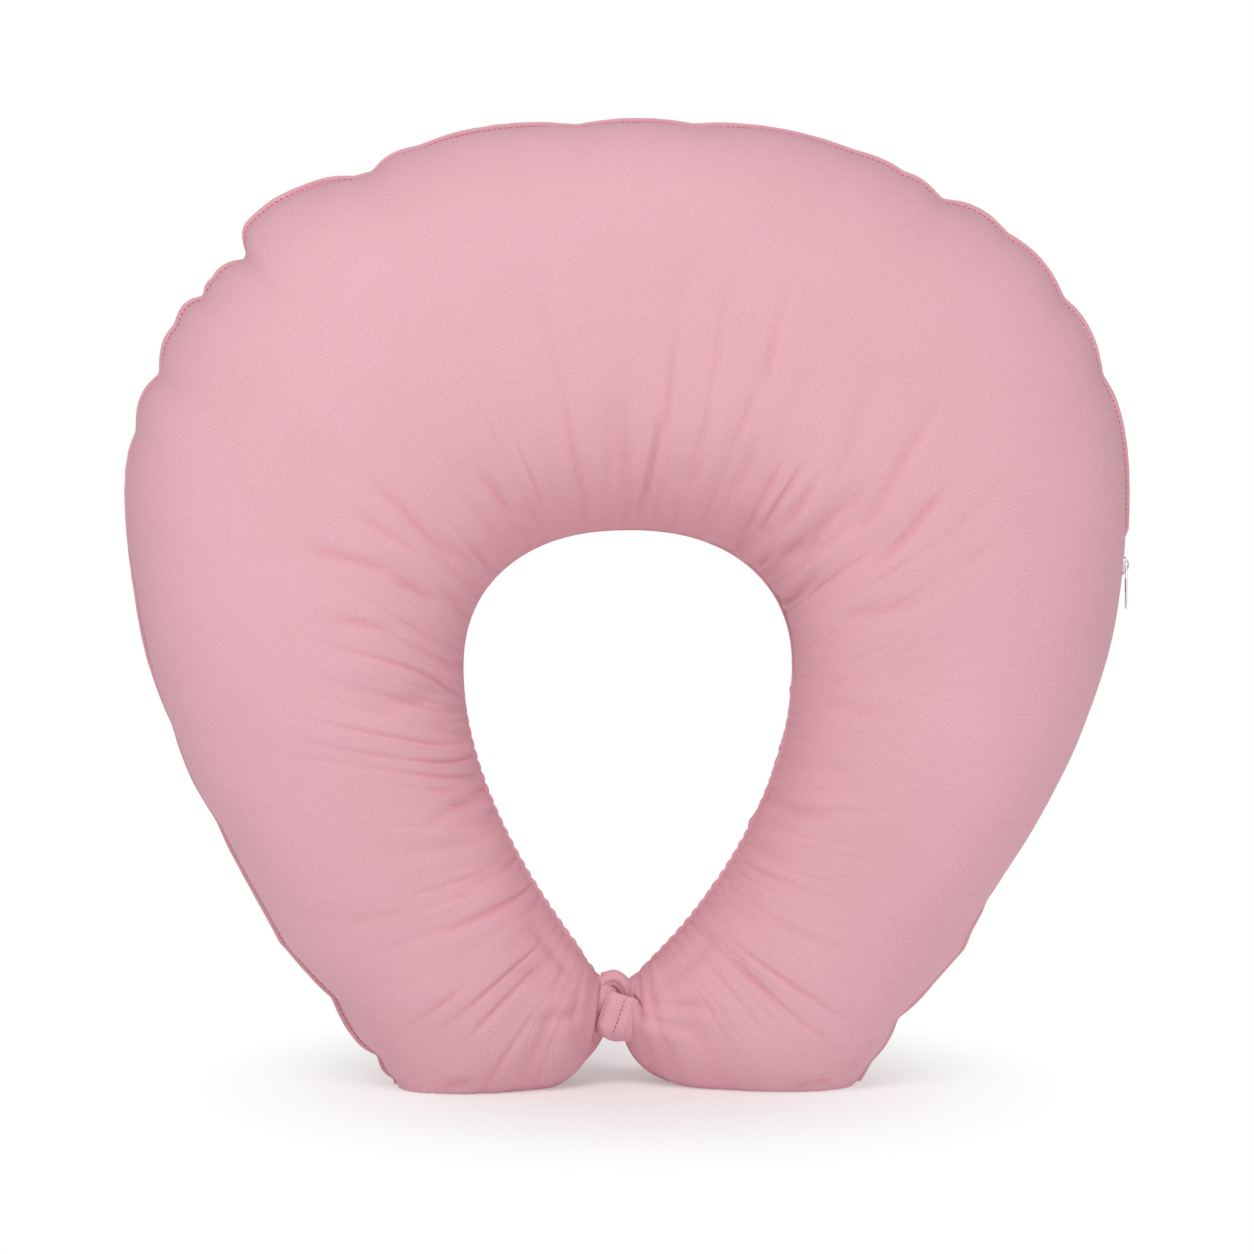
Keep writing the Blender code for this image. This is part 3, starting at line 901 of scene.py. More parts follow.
@dataclass
class Relief:
    """How the cover's surface rises and falls: gathers, folds and creases.

    Whole numbers added to a lattice's coordinates only keep its patterns apart.
    """

    form: PillowForm
    inner_gathers: tuple = INNER_GATHERS
    inner_tucks: tuple = INNER_TUCKS
    outer_gathers: tuple = OUTER_GATHERS
    creases: tuple = CREASES
    front_seed: int = 100
    back_seed: int = 230
    edge_fade: float = 0.0014
    fold_drift: float = 0.5
    drift_reach: float = 0.6
    drift_pitch: float = 0.05
    fold_change: float = 0.9
    tuck_patch: float = 0.042
    tuck_patch_folds: float = 1.7
    tuck_patch_gain: float = 1.4
    tuck_patch_share: float = 0.45
    tuck_rim: float = 0.40
    tuck_depth: float = 1.40
    tuck_width: float = 0.30
    patch_length: float = 0.06
    patch_low: float = 0.75
    patch_gain: float = 0.5
    inner_share: float = 0.6
    outer_share: float = 0.4
    squeeze_low: float = 0.35
    flank_start: float = 0.03
    flank_ramp: float = 0.06
    flank_low: float = 0.85
    flank_gain: float = 1.15
    upper_z: float = 0.36
    upper_ramp: float = 0.06
    left_ramp: float = 0.08
    outer_low: float = 0.35
    outer_gain: float = 0.65
    inland_start: float = 0.02
    inland_ramp: float = 0.05
    slow_height: float = 0.0012
    slow_length: float = 0.085
    quick_height: float = 0.00040
    quick_length: float = 0.031
    leg_pitch: float = 0.0067
    leg_height: float = 0.0011
    leg_length: float = 0.0170
    leg_wander: float = 0.35
    leg_wander_length: float = 0.013
    leg_level: float = 0.6
    swell_x: float = 0.0125
    swell_z: float = 0.0375
    swell_height: float = 0.0065
    swell_half_width: float = 0.0105
    swell_half_height: float = 0.0145
    crease_bend: float = 0.02
    crease_ramp: float = 0.35
    crease_end: float = 1.08
    crease_groove: float = 1.35
    crease_rim: float = 0.45
    crease_rim_spread: float = 5.0

    def folds(self, gathers: tuple, along: np.ndarray, away: np.ndarray,
              seed: int, tucked: bool = False) -> np.ndarray:
        """Folds that leave a seam and merge as they fade.

        Args:
            gathers: The sizes of fold.
            along: Distance along the seam.
            away: Distance from the seam.
            seed: Which random pattern.
            tucked: Whether they are narrow tucks, here and there, and not rolling folds.

        Returns:
            Heights.
        """
        height = np.zeros_like(away)
        for index, gather in enumerate(gathers):
            noise = Lattice(seed + index)
            drift = self.fold_drift * noise.at(
                away / (self.drift_reach * gather.length) + 7, along / self.drift_pitch)
            cell = along / gather.spacing + drift
            value = noise.at(cell, away / (self.fold_change * gather.length) + 40)
            rise = smooth_step(away / gather.start)
            fade = rise * np.exp(-((away / gather.length) ** 4))
            if tucked:
                patch = noise.at(cell / self.tuck_patch_folds + 90, away / self.tuck_patch + 9)
                here = smooth_step(patch * self.tuck_patch_gain + self.tuck_patch_share)
                line = np.exp(-((value / self.tuck_width) ** 2))
                value = self.tuck_rim - self.tuck_depth * line
                fade = fade * here
            height += gather.height * value * fade
        return height

    def height(self, t: np.ndarray, points: np.ndarray, side: Side) -> np.ndarray:
        """The relief at each point of a panel's grid.

        Args:
            t: Places along the arm.
            points: The smooth panel, of shape (places, angles, 3).
            side: Front or back.

        Returns:
            Heights of shape (places, angles).
        """
        form = self.form
        from_outer = distance_across(points)
        from_inner = from_outer[:, -1:] - from_outer
        along_inner = np.interp(t, form.places, form.inner_length)[:, None]
        along_outer = np.interp(t, form.places, form.outer_length)[:, None]
        seed = self.front_seed if side is Side.FRONT else self.back_seed
        wander = Lattice(seed + 50)
        x, z = points[..., 0], points[..., 2]
        patches = Lattice(seed + 60).at(along_inner / self.patch_length, 3.0)
        patchy = self.patch_low + self.patch_gain * patches
        crosswise = self.inner_share * along_inner + self.outer_share * along_outer + 0 * x
        spread = np.linalg.norm(np.gradient(points, axis=0), axis=2)
        squeeze = np.clip(spread / (np.gradient(crosswise, axis=0) + 1e-9),
                          self.squeeze_low, 1.0)
        height = self.folds(self.inner_gathers, crosswise, from_inner, seed) * patchy
        height += self.folds(self.inner_tucks, crosswise, from_inner, seed + 10, True) * patchy
        flanks = smooth_step((np.abs(x) - self.flank_start) / self.flank_ramp)
        height *= (self.flank_low + self.flank_gain * flanks) * squeeze
        upper = smooth_step((z - self.upper_z) / self.upper_ramp)
        upper_left = upper * smooth_step(-x / self.left_ramp)
        height += (self.outer_low + self.outer_gain * upper_left) * self.folds(
            self.outer_gathers, along_outer + 0 * x, from_outer, seed + 20)
        inland = smooth_step((from_inner - self.inland_start) / self.inland_ramp)
        slow = wander.at(x / self.slow_length, z / self.slow_length)
        quick = wander.at(x / self.quick_length + 9, z / self.quick_length)
        height += self.slow_height * inland * slow
        height += self.quick_height * inland * quick
        leg_drift = self.leg_wander * wander.at(along_inner / self.leg_wander_length, 5.0)
        cycle = along_inner / self.leg_pitch + leg_drift
        puffs = np.abs(np.sin(math.pi * cycle)) - self.leg_level
        near_seam = np.exp(-((from_inner / self.leg_length) ** 2))
        height += in_legs(z) * self.leg_height * puffs * near_seam
        if side is Side.FRONT:
            for crease in self.creases:
                height -= self.crease(crease, x, z)
            beside = (((x - self.swell_x) / self.swell_half_width) ** 2
                      + ((z - self.swell_z) / self.swell_half_height) ** 2)
            height += self.swell_height * np.exp(-beside)
        edges = np.minimum(from_inner, from_outer)
        return height * (1 - np.exp(-((edges / self.edge_fade) ** 2)))

    def crease(self, crease: Crease, x: np.ndarray, z: np.ndarray) -> np.ndarray:
        """The depth of one long crease, with a low swell at each side of it.

        Args:
            crease: Its ends, width and depth.
            x: Across.
            z: Up.

        Returns:
            Depths, positive into the pillow.
        """
        ends = np.array([crease.start, crease.end])
        line = ends[1] - ends[0]
        length = float(np.linalg.norm(line))
        line /= length
        away_x, away_z = x - ends[0, 0], z - ends[0, 1]
        along = (away_x * line[0] + away_z * line[1]) / length
        beside = away_z * line[0] - away_x * line[1]
        bend = self.crease_bend * length * np.sin(math.pi * np.clip(along, 0, 1))
        beside = beside - bend
        fade = smooth_step(along / self.crease_ramp) * smooth_step(
            (self.crease_end - along) / self.crease_ramp)
        near = (beside / crease.width) ** 2
        groove = self.crease_groove * np.exp(-near)
        rim = self.crease_rim * np.exp(-near / self.crease_rim_spread)
        return crease.depth * fade * (groove - rim)


@dataclass
class Cover:
    """The cover's front and back panels, with the zip's slot in the right side."""

    form: PillowForm
    relief: Relief
    rows: int = 900
    columns: int = 74
    wall: float = 0.0010
    crown_rows: float = 0.72
    leg_share: float = 0.26
    leg_ramp: float = 0.05
    plain_gap: float = 0.0003
    bound_gap: float = 0.0010
    zip_gap: float = 0.0112
    zip_start: float = -4.0
    zip_end: float = -38.0
    zip_ramp: float = 0.004
    seam_crowding: float = 0.60
    usual_half_depth: float = 0.05
    # How far along the arm the painted crease shade looks, and how deep a crease is for its full
    # strength.
    crease_shade_reach: int = 5
    crease_shade_depth: float = 0.0009
    # Painted shade near the opening: its strength, its reach, and how it grows towards the top.
    shade_strength: float = 0.75
    shade_reach: float = 0.085
    shade_low: float = 0.45
    shade_more: float = 0.80
    shade_z: float = 0.27
    shade_ramp: float = 0.06

    def places(self) -> np.ndarray:
        """Places along the arm, closer together in the legs than round the crown.

        Returns:
            One place for each row of the panel.
        """
        fine = np.linspace(0, 1, 2000)
        from_tip = 0.5 - np.abs(fine - 0.5)
        in_crown = smooth_step((from_tip - self.leg_share) / self.leg_ramp)
        spread = 1 - (1 - self.crown_rows) * in_crown
        total = np.concatenate([[0], np.cumsum((spread[1:] + spread[:-1]) / 2)])
        return np.interp(np.linspace(0, 1, self.rows), total / total[-1], fine)

    def zip_span(self) -> tuple[float, float]:
        """Places where the zip's slot starts and ends."""
        return self.on_side(self.zip_start), self.on_side(self.zip_end)

    def on_side(self, angle: float) -> float:
        """The place along the arm that is nearest to a point of the right side's arc.

        Args:
            angle: In degrees above the widest line.

        Returns:
            The place.
        """
        form = self.form
        turn = math.radians(angle)
        centre = form.width / 2 - form.side_radius
        spot = np.array([centre + form.side_radius * math.cos(turn),
                         form.waist_z + form.side_radius * math.sin(turn)])
        nearest = np.argmin(np.linalg.norm(form.table[:, 0:2] - spot, axis=1))
        return float(form.places[nearest])

    def gap(self, t: np.ndarray) -> np.ndarray:
        """Half the gap between the two panels at the outer seam.

        Args:
            t: Places along the arm.

        Returns:
            Half gaps: wide at the zip, narrow elsewhere.
        """
        start, end = self.zip_span()
        ramp = self.zip_ramp
        inside = smooth_step((t - start) / ramp + 1) * smooth_step((end - t) / ramp + 1)
        return self.bound_gap + (self.zip_gap - self.bound_gap) * inside

    def turns(self, t: np.ndarray) -> np.ndarray:
        """Angles across the section for each place, closer together at the seams.

        Args:
            t: Places along the arm.

        Returns:
            Angles of shape (places, columns).
        """
        even = np.linspace(0, 1, self.columns)
        eased = even - self.seam_crowding * np.sin(2 * math.pi * even) / (2 * math.pi)
        power = self.form.section_power / 2
        lift = self.gap(t) / self.form.rails(t)[:, 4]
        first = np.arcsin(np.clip(lift, 0, 1) ** power)
        last = math.pi - np.arcsin((self.plain_gap / self.usual_half_depth) ** power)
        return first[:, None] + (last - first)[:, None] * eased

    def crease_shade(self, height: np.ndarray) -> np.ndarray:
        """How far each point lies below its neighbours along the arm, for painted shade in the
        creases.

        Args:
            height: The relief, of shape (places, angles).

        Returns:
            Values from 0 to 1, of the same shape.
        """
        reach = self.crease_shade_reach
        padded = np.pad(height, ((reach, reach), (0, 0)), mode="edge")
        count = 2 * reach + 1
        mean = sum(padded[step:step + len(height)] for step in range(count)) / count
        return np.clip((mean - height) / self.crease_shade_depth, 0, 1)

    def opening_shade(self, points: np.ndarray) -> np.ndarray:
        """How much painted shade darkens the cloth near the opening, more towards its top.

        Args:
            points: The panel's grid.

        Returns:
            Values from 0 to about 1.
        """
        run = distance_across(points)
        from_inner = run[:, -1:] - run
        above = self.shade_low + self.shade_more * smooth_step(
            (points[..., 2] - self.shade_z) / self.shade_ramp)
        return self.shade_strength * above * np.exp(-((from_inner / self.shade_reach) ** 2))

    def panel(self, side: Side, material: bpy.types.Material) -> bpy.types.Object:
        """Builds one panel.

        Args:
            side: Front or back.
            material: The cover's cloth.

        Returns:
            The panel.
        """
        t = self.places()
        points, pattern = self.form.sections(t, self.turns(t), side)
        lengthwise, crosswise = np.gradient(points, axis=0), np.gradient(points, axis=1)
        normal = np.cross(lengthwise, crosswise)
        normal /= np.linalg.norm(normal, axis=2)[..., None] + 1e-12
        facing = np.sign((normal[..., 1] * side.value).sum())
        height = self.relief.height(t, points, side)
        points += facing * normal * height[..., None]
        points[..., 2] = np.maximum(points[..., 2], 0.0)
        piece = grid_piece(f"cover_{side.name.lower()}_cloth", points, pattern)
        # Painted shade: darker in the relief's creases and near the opening, kept as a point
        # attribute for the cloth.
        tuck = piece.data.attributes.new("tuck", "FLOAT", "POINT")
        shade = self.crease_shade(height) + self.opening_shade(points)
        tuck.data.foreach_set("value", shade.astype(np.float32).reshape(-1))
        active(piece)
        bpy.ops.object.mode_set(mode="EDIT")
        bpy.ops.mesh.select_all(action="SELECT")
        if sum(face.normal.y for face in piece.data.polygons) * side.value < 0:
            bpy.ops.mesh.flip_normals()
        bpy.ops.object.mode_set(mode="OBJECT")
        thicken(piece, self.wall, -1)
        return finish_piece(piece, material, "pillow", "cover_cotton",
                            f"cover_{side.name.lower()}_panel")


@dataclass
class Stuffing:
    """What the cover holds: the casing's two panels and the fibre."""

    form: PillowForm
    rows: int = 160
    columns: int = 28
    casing_inset: float = 0.0095
    casing_wall: float = 0.0008
    casing_gap: float = 0.0003
    fibre_inset: float = 0.0120
    tip: float = 0.035

    def half(self, side: Side, inset: float) -> tuple[np.ndarray, np.ndarray]:
        """One half of a smaller pillow that stops short of the tips.

        Args:
            side: Which half.
            inset: How far inside the cover's surface.

        Returns:
            Points and their pattern, as the form's sections.
        """
        t = np.linspace(self.tip, 1 - self.tip, self.rows)
        turn = np.linspace(0, math.pi, self.columns)
        turn = np.broadcast_to(turn, (self.rows, self.columns))
        points, pattern = self.form.sections(t, turn, side, inset)
        points[..., 2] = np.maximum(points[..., 2], inset)
        return points, pattern

    def casing(self, side: Side, material: bpy.types.Material) -> bpy.types.Object:
        """One panel of the casing.

        Args:
            side: Front or back.
            material: The casing's cloth.

        Returns:
            The panel.
        """
        points, pattern = self.half(side, self.casing_inset)
        points[..., 1] += side.value * self.casing_gap
        piece = grid_piece(f"casing_{side.name.lower()}_cloth", points, pattern)
        thicken(piece, self.casing_wall)
        outward(piece)
        return finish_piece(piece, material, "pillow", "casing_cotton",
                            f"inner_casing_{side.name.lower()}")

    def fibre(self, material: bpy.types.Material) -> bpy.types.Object:
        """The fibre, as one closed body.

        Args:
            material: The wadding.

        Returns:
            The fibre.
        """
        front, _ = self.half(Side.FRONT, self.fibre_inset)
        back, _ = self.half(Side.BACK, self.fibre_inset)
        rings = np.concatenate([front, back[:, -2:0:-1]], axis=1)
        piece = tube_piece("fibre_wadding", rings)
        return finish_piece(piece, material, "pillow", "polyester_fibre", "fibre_fill")


# ---------------------------------------------------------------- seams


@dataclass
class SeamEdge:
    """A raised seam edge that follows one of the pillow's rails, with its stitches."""

    form: PillowForm
    name: str
    node: str
    start: float
    end: float
    inner: bool = False
    proud: float = 0.0030
    root: float = 0.0042
    half_thickness: float = 0.00095
    waist: float = 0.28
    wave: float = 0.0007
    wave_length: float = 0.028
    gather: float = 0.0
    gather_pitch: float = 0.0067
    step: float = 0.0014
    taper_in: float = 0.006
    taper_out: float = 0.006
    thin_end: float = 0.15
    ragged: float = 0.04
    ragged_length: float = 0.006
    around: int = 12
    seed: int = 300
    stitch_pitch: float = 0.0031
    stitch_length: float = 0.0021
    stitch_radius: float = 0.00022
    stitch_margin: float = 0.008
    stitch_shift: float = 0.0006
    stitch_height: float = 0.86

    def path(self, t: np.ndarray) -> tuple[np.ndarray, np.ndarray, np.ndarray, np.ndarray]:
        """The seam line with its waves.

        Args:
            t: Places along the arm.

        Returns:
            Points, outward directions, distances along, and the wave in depth.
        """
        points, away = self.form.seam(t, self.inner)
        along = lengths_along(points)
        noise = Lattice(self.seed)
        wave = self.wave * noise.at(along / self.wave_length, 2.0)
        if self.gather:
            pull = np.abs(np.sin(math.pi * along / self.gather_pitch)) - 0.5
            points = points + away * (self.gather * in_legs(points[:, 1]) * pull)[:, None]
        return points, away, along, wave

    def build(self, material: bpy.types.Material) -> bpy.types.Object:
        """Sweeps the edge along the seam.

        Args:
            material: The seam's cloth.

        Returns:
            The edge.
        """
        length = abs(self.end - self.start) * self.form.length
        t = np.linspace(self.start, self.end, int(length * OUTER_STRETCH / self.step))
        points, away, along, wave = self.path(t)
        noise = Lattice(self.seed + 1)
        turn = np.linspace(0, 2 * math.pi, self.around, endpoint=False)
        reach = (self.proud + self.root) / 2
        middle = (self.proud - self.root) / 2
        across = middle + reach * signed_power(np.cos(turn), 0.8)
        waist = 1 - self.waist * np.exp(-(((across + 0.0006) / 0.0008) ** 2))
        depth = self.half_thickness * signed_power(np.sin(turn), 0.7) * waist
        ends = np.minimum(along / self.taper_in, (along[-1] - along) / self.taper_out)
        taper = np.clip(ends, self.thin_end, 1)
        ragged = 1 + self.ragged * noise.at(along / self.ragged_length, 1.0)
        rings = np.empty((len(t), self.around, 3))
        spread = across[None, :] * np.where(across[None, :] > 0, (taper * ragged)[:, None], 1)
        rings[..., 0] = points[:, 0:1] + spread * away[:, 0:1]
        rings[..., 2] = points[:, 1:2] + spread * away[:, 1:2]
        share = np.clip(across / self.proud, 0, 1)
        thickness = np.clip(3 * taper, 0.6, 1)[:, None]
        rings[..., 1] = depth[None, :] * thickness + wave[:, None] * share[None, :]
        rings[..., 2] = np.maximum(rings[..., 2], 0.0)
        piece = tube_piece(self.name, rings)
        return finish_piece(piece, material, "pillow", "seam_binding", self.node)

    def stitches(self, material: bpy.types.Material, side: Side) -> bpy.types.Object:
        """The row of stitches along the edge's root.

        Args:
            material: The thread.
            side: Which face of the edge it is on.

        Returns:
            The row.
        """
        t = np.linspace(self.start, self.end, 3000)
        points, away, along, _ = self.path(t)
        deselect()
        bpy.ops.mesh.primitive_uv_sphere_add(segments=6, ring_count=5, radius=1)
        stitch = bpy.context.object
        matrices = []
        for spot in np.arange(self.stitch_margin, along[-1] - self.stitch_margin,
                              self.stitch_pitch):
            index = int(np.searchsorted(along, spot))
            if points[index][1] < self.stitch_radius:
                continue
            tangent = points[index] - points[index - 1]
            angle = math.atan2(tangent[1], tangent[0])
            outward_shift = away[index] * self.stitch_shift
            centre = Vector((points[index][0] + outward_shift[0],
                             side.value * self.half_thickness * self.stitch_height,
                             points[index][1] + outward_shift[1]))
            size = Matrix.Diagonal((self.stitch_length / 2, self.stitch_radius,
                                    self.stitch_radius, 1))
            matrices.append(Matrix.Translation(centre) @ Matrix.Rotation(-angle, 4, "Y") @ size)
        name = f"{self.name}_stitches_{side.name.lower()}"
        piece = scattered(name, stitch, matrices)
        return finish_piece(piece, material, "pillow", "seam_binding")


# ---------------------------------------------------------------- knot


@dataclass
class Knot:
    """The left arm's gathered neck held by the right arm's sewn loop.

    A profile is two tuples: shares of the way along, and the values there.
    """

    middle_z: float = 0.0445
    wall: float = 0.0022
    front_y: float = -0.0205
    drop: float = 0.0030
    neck_folds: int = 7
    neck_start_x: float = -0.0300
    neck_length: float = 0.0268
    neck_half_size: float = 0.0120
    neck_more_height: float = 0.0028
    neck_more_depth: float = 0.0036
    neck_rise: float = 0.0012
    neck_round_from: float = 0.52
    neck_ripple: float = 0.03
    crest_points: tuple = ((-0.0190, 0.0515), (-0.0160, 0.0578), (-0.0120, 0.0624),
                           (-0.0078, 0.0634), (-0.0030, 0.0598), (-0.0002, 0.0545),
                           (0.0008, 0.0490), (0.0008, 0.0430))
    crest_smoothing: int = 6
    crest_radius: float = 0.0051
    crest_thinning: float = 0.0010
    crest_ripple: float = 0.07
    crest_fold: float = 0.17
    crest_front_y: float = -0.0052
    crest_lean: float = 0.0015
    crest_depth_share: float = 1.15
    back_start_x: float = -0.0150
    back_length: float = 0.0225
    back_profile: tuple = ((0, .18, .32, .42, .62, .80, 1),
                           (.0640, .0655, .0652, .0640, .0595, .0565, .0550))
    back_half_depth: float = 0.0162
    back_thinning: float = 0.0012
    back_low: float = 0.0165
    back_turns: tuple = (92, 325)
    back_ripple: float = 0.02
    back_girth: float = 0.016
    strap_left: tuple = ((0, .08, .30, .62, 1), (-.0136, -.0168, -.0178, -.0148, -.0114))
    strap_right_x: float = 0.0110
    strap_right_lean: float = 0.003
    strap_low_z: float = 0.0316
    strap_high_z: float = 0.0572
    strap_low_fall: float = 0.005
    strap_high_fall: float = 0.0068
    strap_belly: float = 0.0012
    strap_roll: float = 0.0036
    strap_roll_width: float = 0.0020
    strap_sink: float = 0.0065
    strap_puff: float = 0.0010
    strap_ripple: float = 0.0007
    seam_x: float = -0.0098
    seam_lean: float = 0.0078
    seam_width: float = 0.0013
    seam_sink: float = 0.0005
    seam_ridge: float = 0.0011
    soft_edge: float = 0.0007
    stitch_low: tuple = (-0.0100, 0, 0.0290)
    stitch_high: tuple = (-0.0024, 0, 0.0500)
    stitch_size: tuple = (0.00105, 0.00050, 0.00045)
    stitch_count: int = 9
    stitch_sink: float = 0.0004

    def neck(self, material: bpy.types.Material) -> bpy.types.Object:
        """The rounded, gathered end of the left arm inside the loop.

        Args:
            material: The cover's cloth.

        Returns:
            The neck.
        """
        share = np.linspace(0, 1, 44)
        x = self.neck_start_x + self.neck_length * share
        past = np.clip((share - self.neck_round_from) / (1 - self.neck_round_from), 0, 1)
        round_end = np.sqrt(np.clip(1 - past**2.6, 0, 1))
        swell = smooth_step(share / 0.55)
        half_height = (self.neck_half_size + self.neck_more_height * swell) * round_end
        half_depth = (self.neck_half_size + self.neck_more_depth * swell) * round_end
        middle = self.middle_z + self.neck_rise * smooth_step(share / 0.6)
        turn = np.linspace(0, 2 * math.pi, 72, endpoint=False)
        folds = Lattice(401).at(turn[None, :] * self.neck_folds / 2, share[:, None] * 1.5)
        ripple = 1 + self.neck_ripple * folds
        rings = np.empty((len(share), len(turn), 3))
        rings[..., 0] = x[:, None]
        rings[..., 1] = -half_depth[:, None] * np.cos(turn) * ripple
        rings[..., 2] = middle[:, None] + half_height[:, None] * np.sin(turn) * ripple
        piece = tube_piece("knot_neck_cloth", rings)
        return finish_piece(piece, material, "pillow", "cover_cotton", "left_tie_tab")

    def loop(self, material: bpy.types.Material) -> bpy.types.Object:
        """The loop: its rolled crest, its back and the stitched strap across the front."""
        piece = joined("knot_loop_cloth", [self._back(), self._crest(), self._strap()])
        return finish_piece(piece, material, "pillow", "cover_cotton", "right_tie_loop")

    def _crest(self) -> bpy.types.Object:
        """The rolled fold of the loop that rises over the neck and goes down behind the strap.

        Returns:
            The crest.
        """
        share = np.linspace(0, 1, 56)
        knots = np.array(self.crest_points)
        marks = np.linspace(0, 1, len(knots))
        path = resampled(knots, marks, share) - np.array((0.0, self.drop))
        for _ in range(self.crest_smoothing):
            path[1:-1] = (path[:-2] + 2 * path[1:-1] + path[2:]) / 4
        forward = directions(path)
        across = np.stack([-forward[:, 1], forward[:, 0]], axis=1)
        radius = self.crest_radius - self.crest_thinning * np.abs(share - 0.45) * 2
        turn = np.linspace(0, 2 * math.pi, 36, endpoint=False)
        ripple = 1 + self.crest_ripple * Lattice(421).at(turn[None, :] * 1.1, share[:, None] * 4)
        fold_line = turn[None, :] - 4.6 + 0.5 * share[:, None]
        ripple -= self.crest_fold * np.exp(-((fold_line / 0.20) ** 2))
        rings = np.empty((len(share), len(turn), 3))
        swell = radius[:, None] * np.cos(turn)[None, :] * ripple
        rings[..., 0] = path[:, 0:1] + swell * across[:, 0:1]
        rings[..., 2] = path[:, 1:2] + swell * across[:, 1:2]
        front = self.crest_front_y - self.crest_lean * share[:, None]
        deep = self.crest_depth_share * radius[:, None]
        rings[..., 1] = front + deep * np.sin(turn)[None, :] * ripple
        return tube_piece("loop_crest", rings)

    def _back(self) -> bpy.types.Object:
        """The part of the loop that goes down the back of the neck and under it.

        Returns:
            The band.
        """
        share = np.linspace(0, 1, 28)
        x = self.back_start_x + self.back_length * share
        crest = np.interp(share, *self.back_profile)
        half_height = crest - self.drop - self.middle_z
        half_depth = self.back_half_depth - self.back_thinning * share
        first, last = self.back_turns
        turn = np.linspace(math.radians(first), math.radians(last), 72)
        folds = Lattice(411).at(share[:, None] * 5, turn[None, :] * 1.3)
        ripple = 1 + self.back_ripple * folds
        rings = np.empty((len(share), len(turn), 3))
        lower = np.where(np.sin(turn) < 0, self.back_low, half_height[:, None])
        rings[..., 0] = x[:, None]
        rings[..., 1] = -half_depth[:, None] * np.cos(turn) * ripple
        rings[..., 2] = self.middle_z + lower * np.sin(turn) * ripple
        pattern = np.stack(np.meshgrid(x, turn * self.back_girth, indexing="ij"), axis=-1)
        piece = grid_piece("loop_back", rings, pattern)
        return self._thick(piece)

    def bow(self, z: np.ndarray | float) -> np.ndarray | float:
        """How far back the strap's surface curves at a height."""
        return 0.0060 * ((z - self.middle_z + 0.003) / 0.0140) ** 4

    def _strap(self) -> bpy.types.Object:
        """The stitched strap across the front, wider than the neck and slanting.

        Returns:
            The strap.
        """
        rows, columns = 48, 44
        up = np.linspace(0, 1, rows)[:, None]
        right = np.linspace(0, 1, columns)[None, :]
        left_x = np.interp(up, *self.strap_left)
        right_x = self.strap_right_x + self.strap_right_lean * up
        x = left_x + (right_x - left_x) * right
        belly = self.strap_belly * np.sin(math.pi * np.clip(right * 2.4, 0, 1))
        low = self.strap_low_z - self.drop - belly - self.strap_low_fall * right
        high = self.strap_high_z - self.drop - self.strap_high_fall * right
        z = low + (high - low) * up
        roll = np.exp(-(((x - left_x) / self.strap_roll_width) ** 2))
        seam_x = self.seam_x + self.seam_lean * up
        beside = (x - seam_x) / self.seam_width
        past = smooth_step((x - seam_x) / 0.016)
        sink = self.strap_sink * smooth_step((x - 0.0035) / 0.0075)
        y = (self.front_y + self.bow(z) + self.strap_roll * roll - self.strap_puff * past
             + sink)
        ridge = np.exp(-(((beside - 2.4) / 1.7) ** 2))
        y = y + self.seam_sink * np.exp(-(beside**2)) - self.seam_ridge * ridge
        y = y - self.strap_ripple * past * Lattice(431).at(z / 0.0055 + 3, x / 0.02)
        points = np.stack([x, y, z], axis=-1)
        piece = grid_piece("loop_strap", points, np.stack([x, z], axis=-1))
        return self._thick(piece)

    def _thick(self, piece: bpy.types.Object) -> bpy.types.Object:
        """Gives a band its thickness and a soft edge.

        Args:
            piece: The band, as a sheet.

        Returns:
            The same band.
        """
        thicken(piece, self.wall)
        soft = piece.modifiers.new("edge", "BEVEL")
        soft.width = self.soft_edge
        soft.segments = 3
        soft.limit_method = "ANGLE"
        apply_all(piece)
        outward(piece)
        return piece

    def stitches(self, material: bpy.types.Material) -> bpy.types.Object:
        """The slanting row of stitches down the strap.

        Args:
            material: The thread.

        Returns:
            The row.
        """
        deselect()
        bpy.ops.mesh.primitive_uv_sphere_add(segments=8, ring_count=6, radius=1)
        stitch = bpy.context.object
        low, high = Vector(self.stitch_low), Vector(self.stitch_high)
        aim = (high - low).to_track_quat("X", "Y").to_matrix().to_4x4()
        size = Matrix.Diagonal((*self.stitch_size, 1))
        matrices = []
        for index in range(self.stitch_count):
            spot = low.lerp(high, (index + 0.5) / self.stitch_count)
            spot.y = self.front_y + self.bow(spot.z) - self.wall / 2 + self.stitch_sink
            matrices.append(Matrix.Translation(spot) @ aim @ size)
        piece = scattered("knot_strap_stitches", stitch, matrices)
        return finish_piece(piece, material, "pillow", "cover_cotton")


# ---------------------------------------------------------------- zip


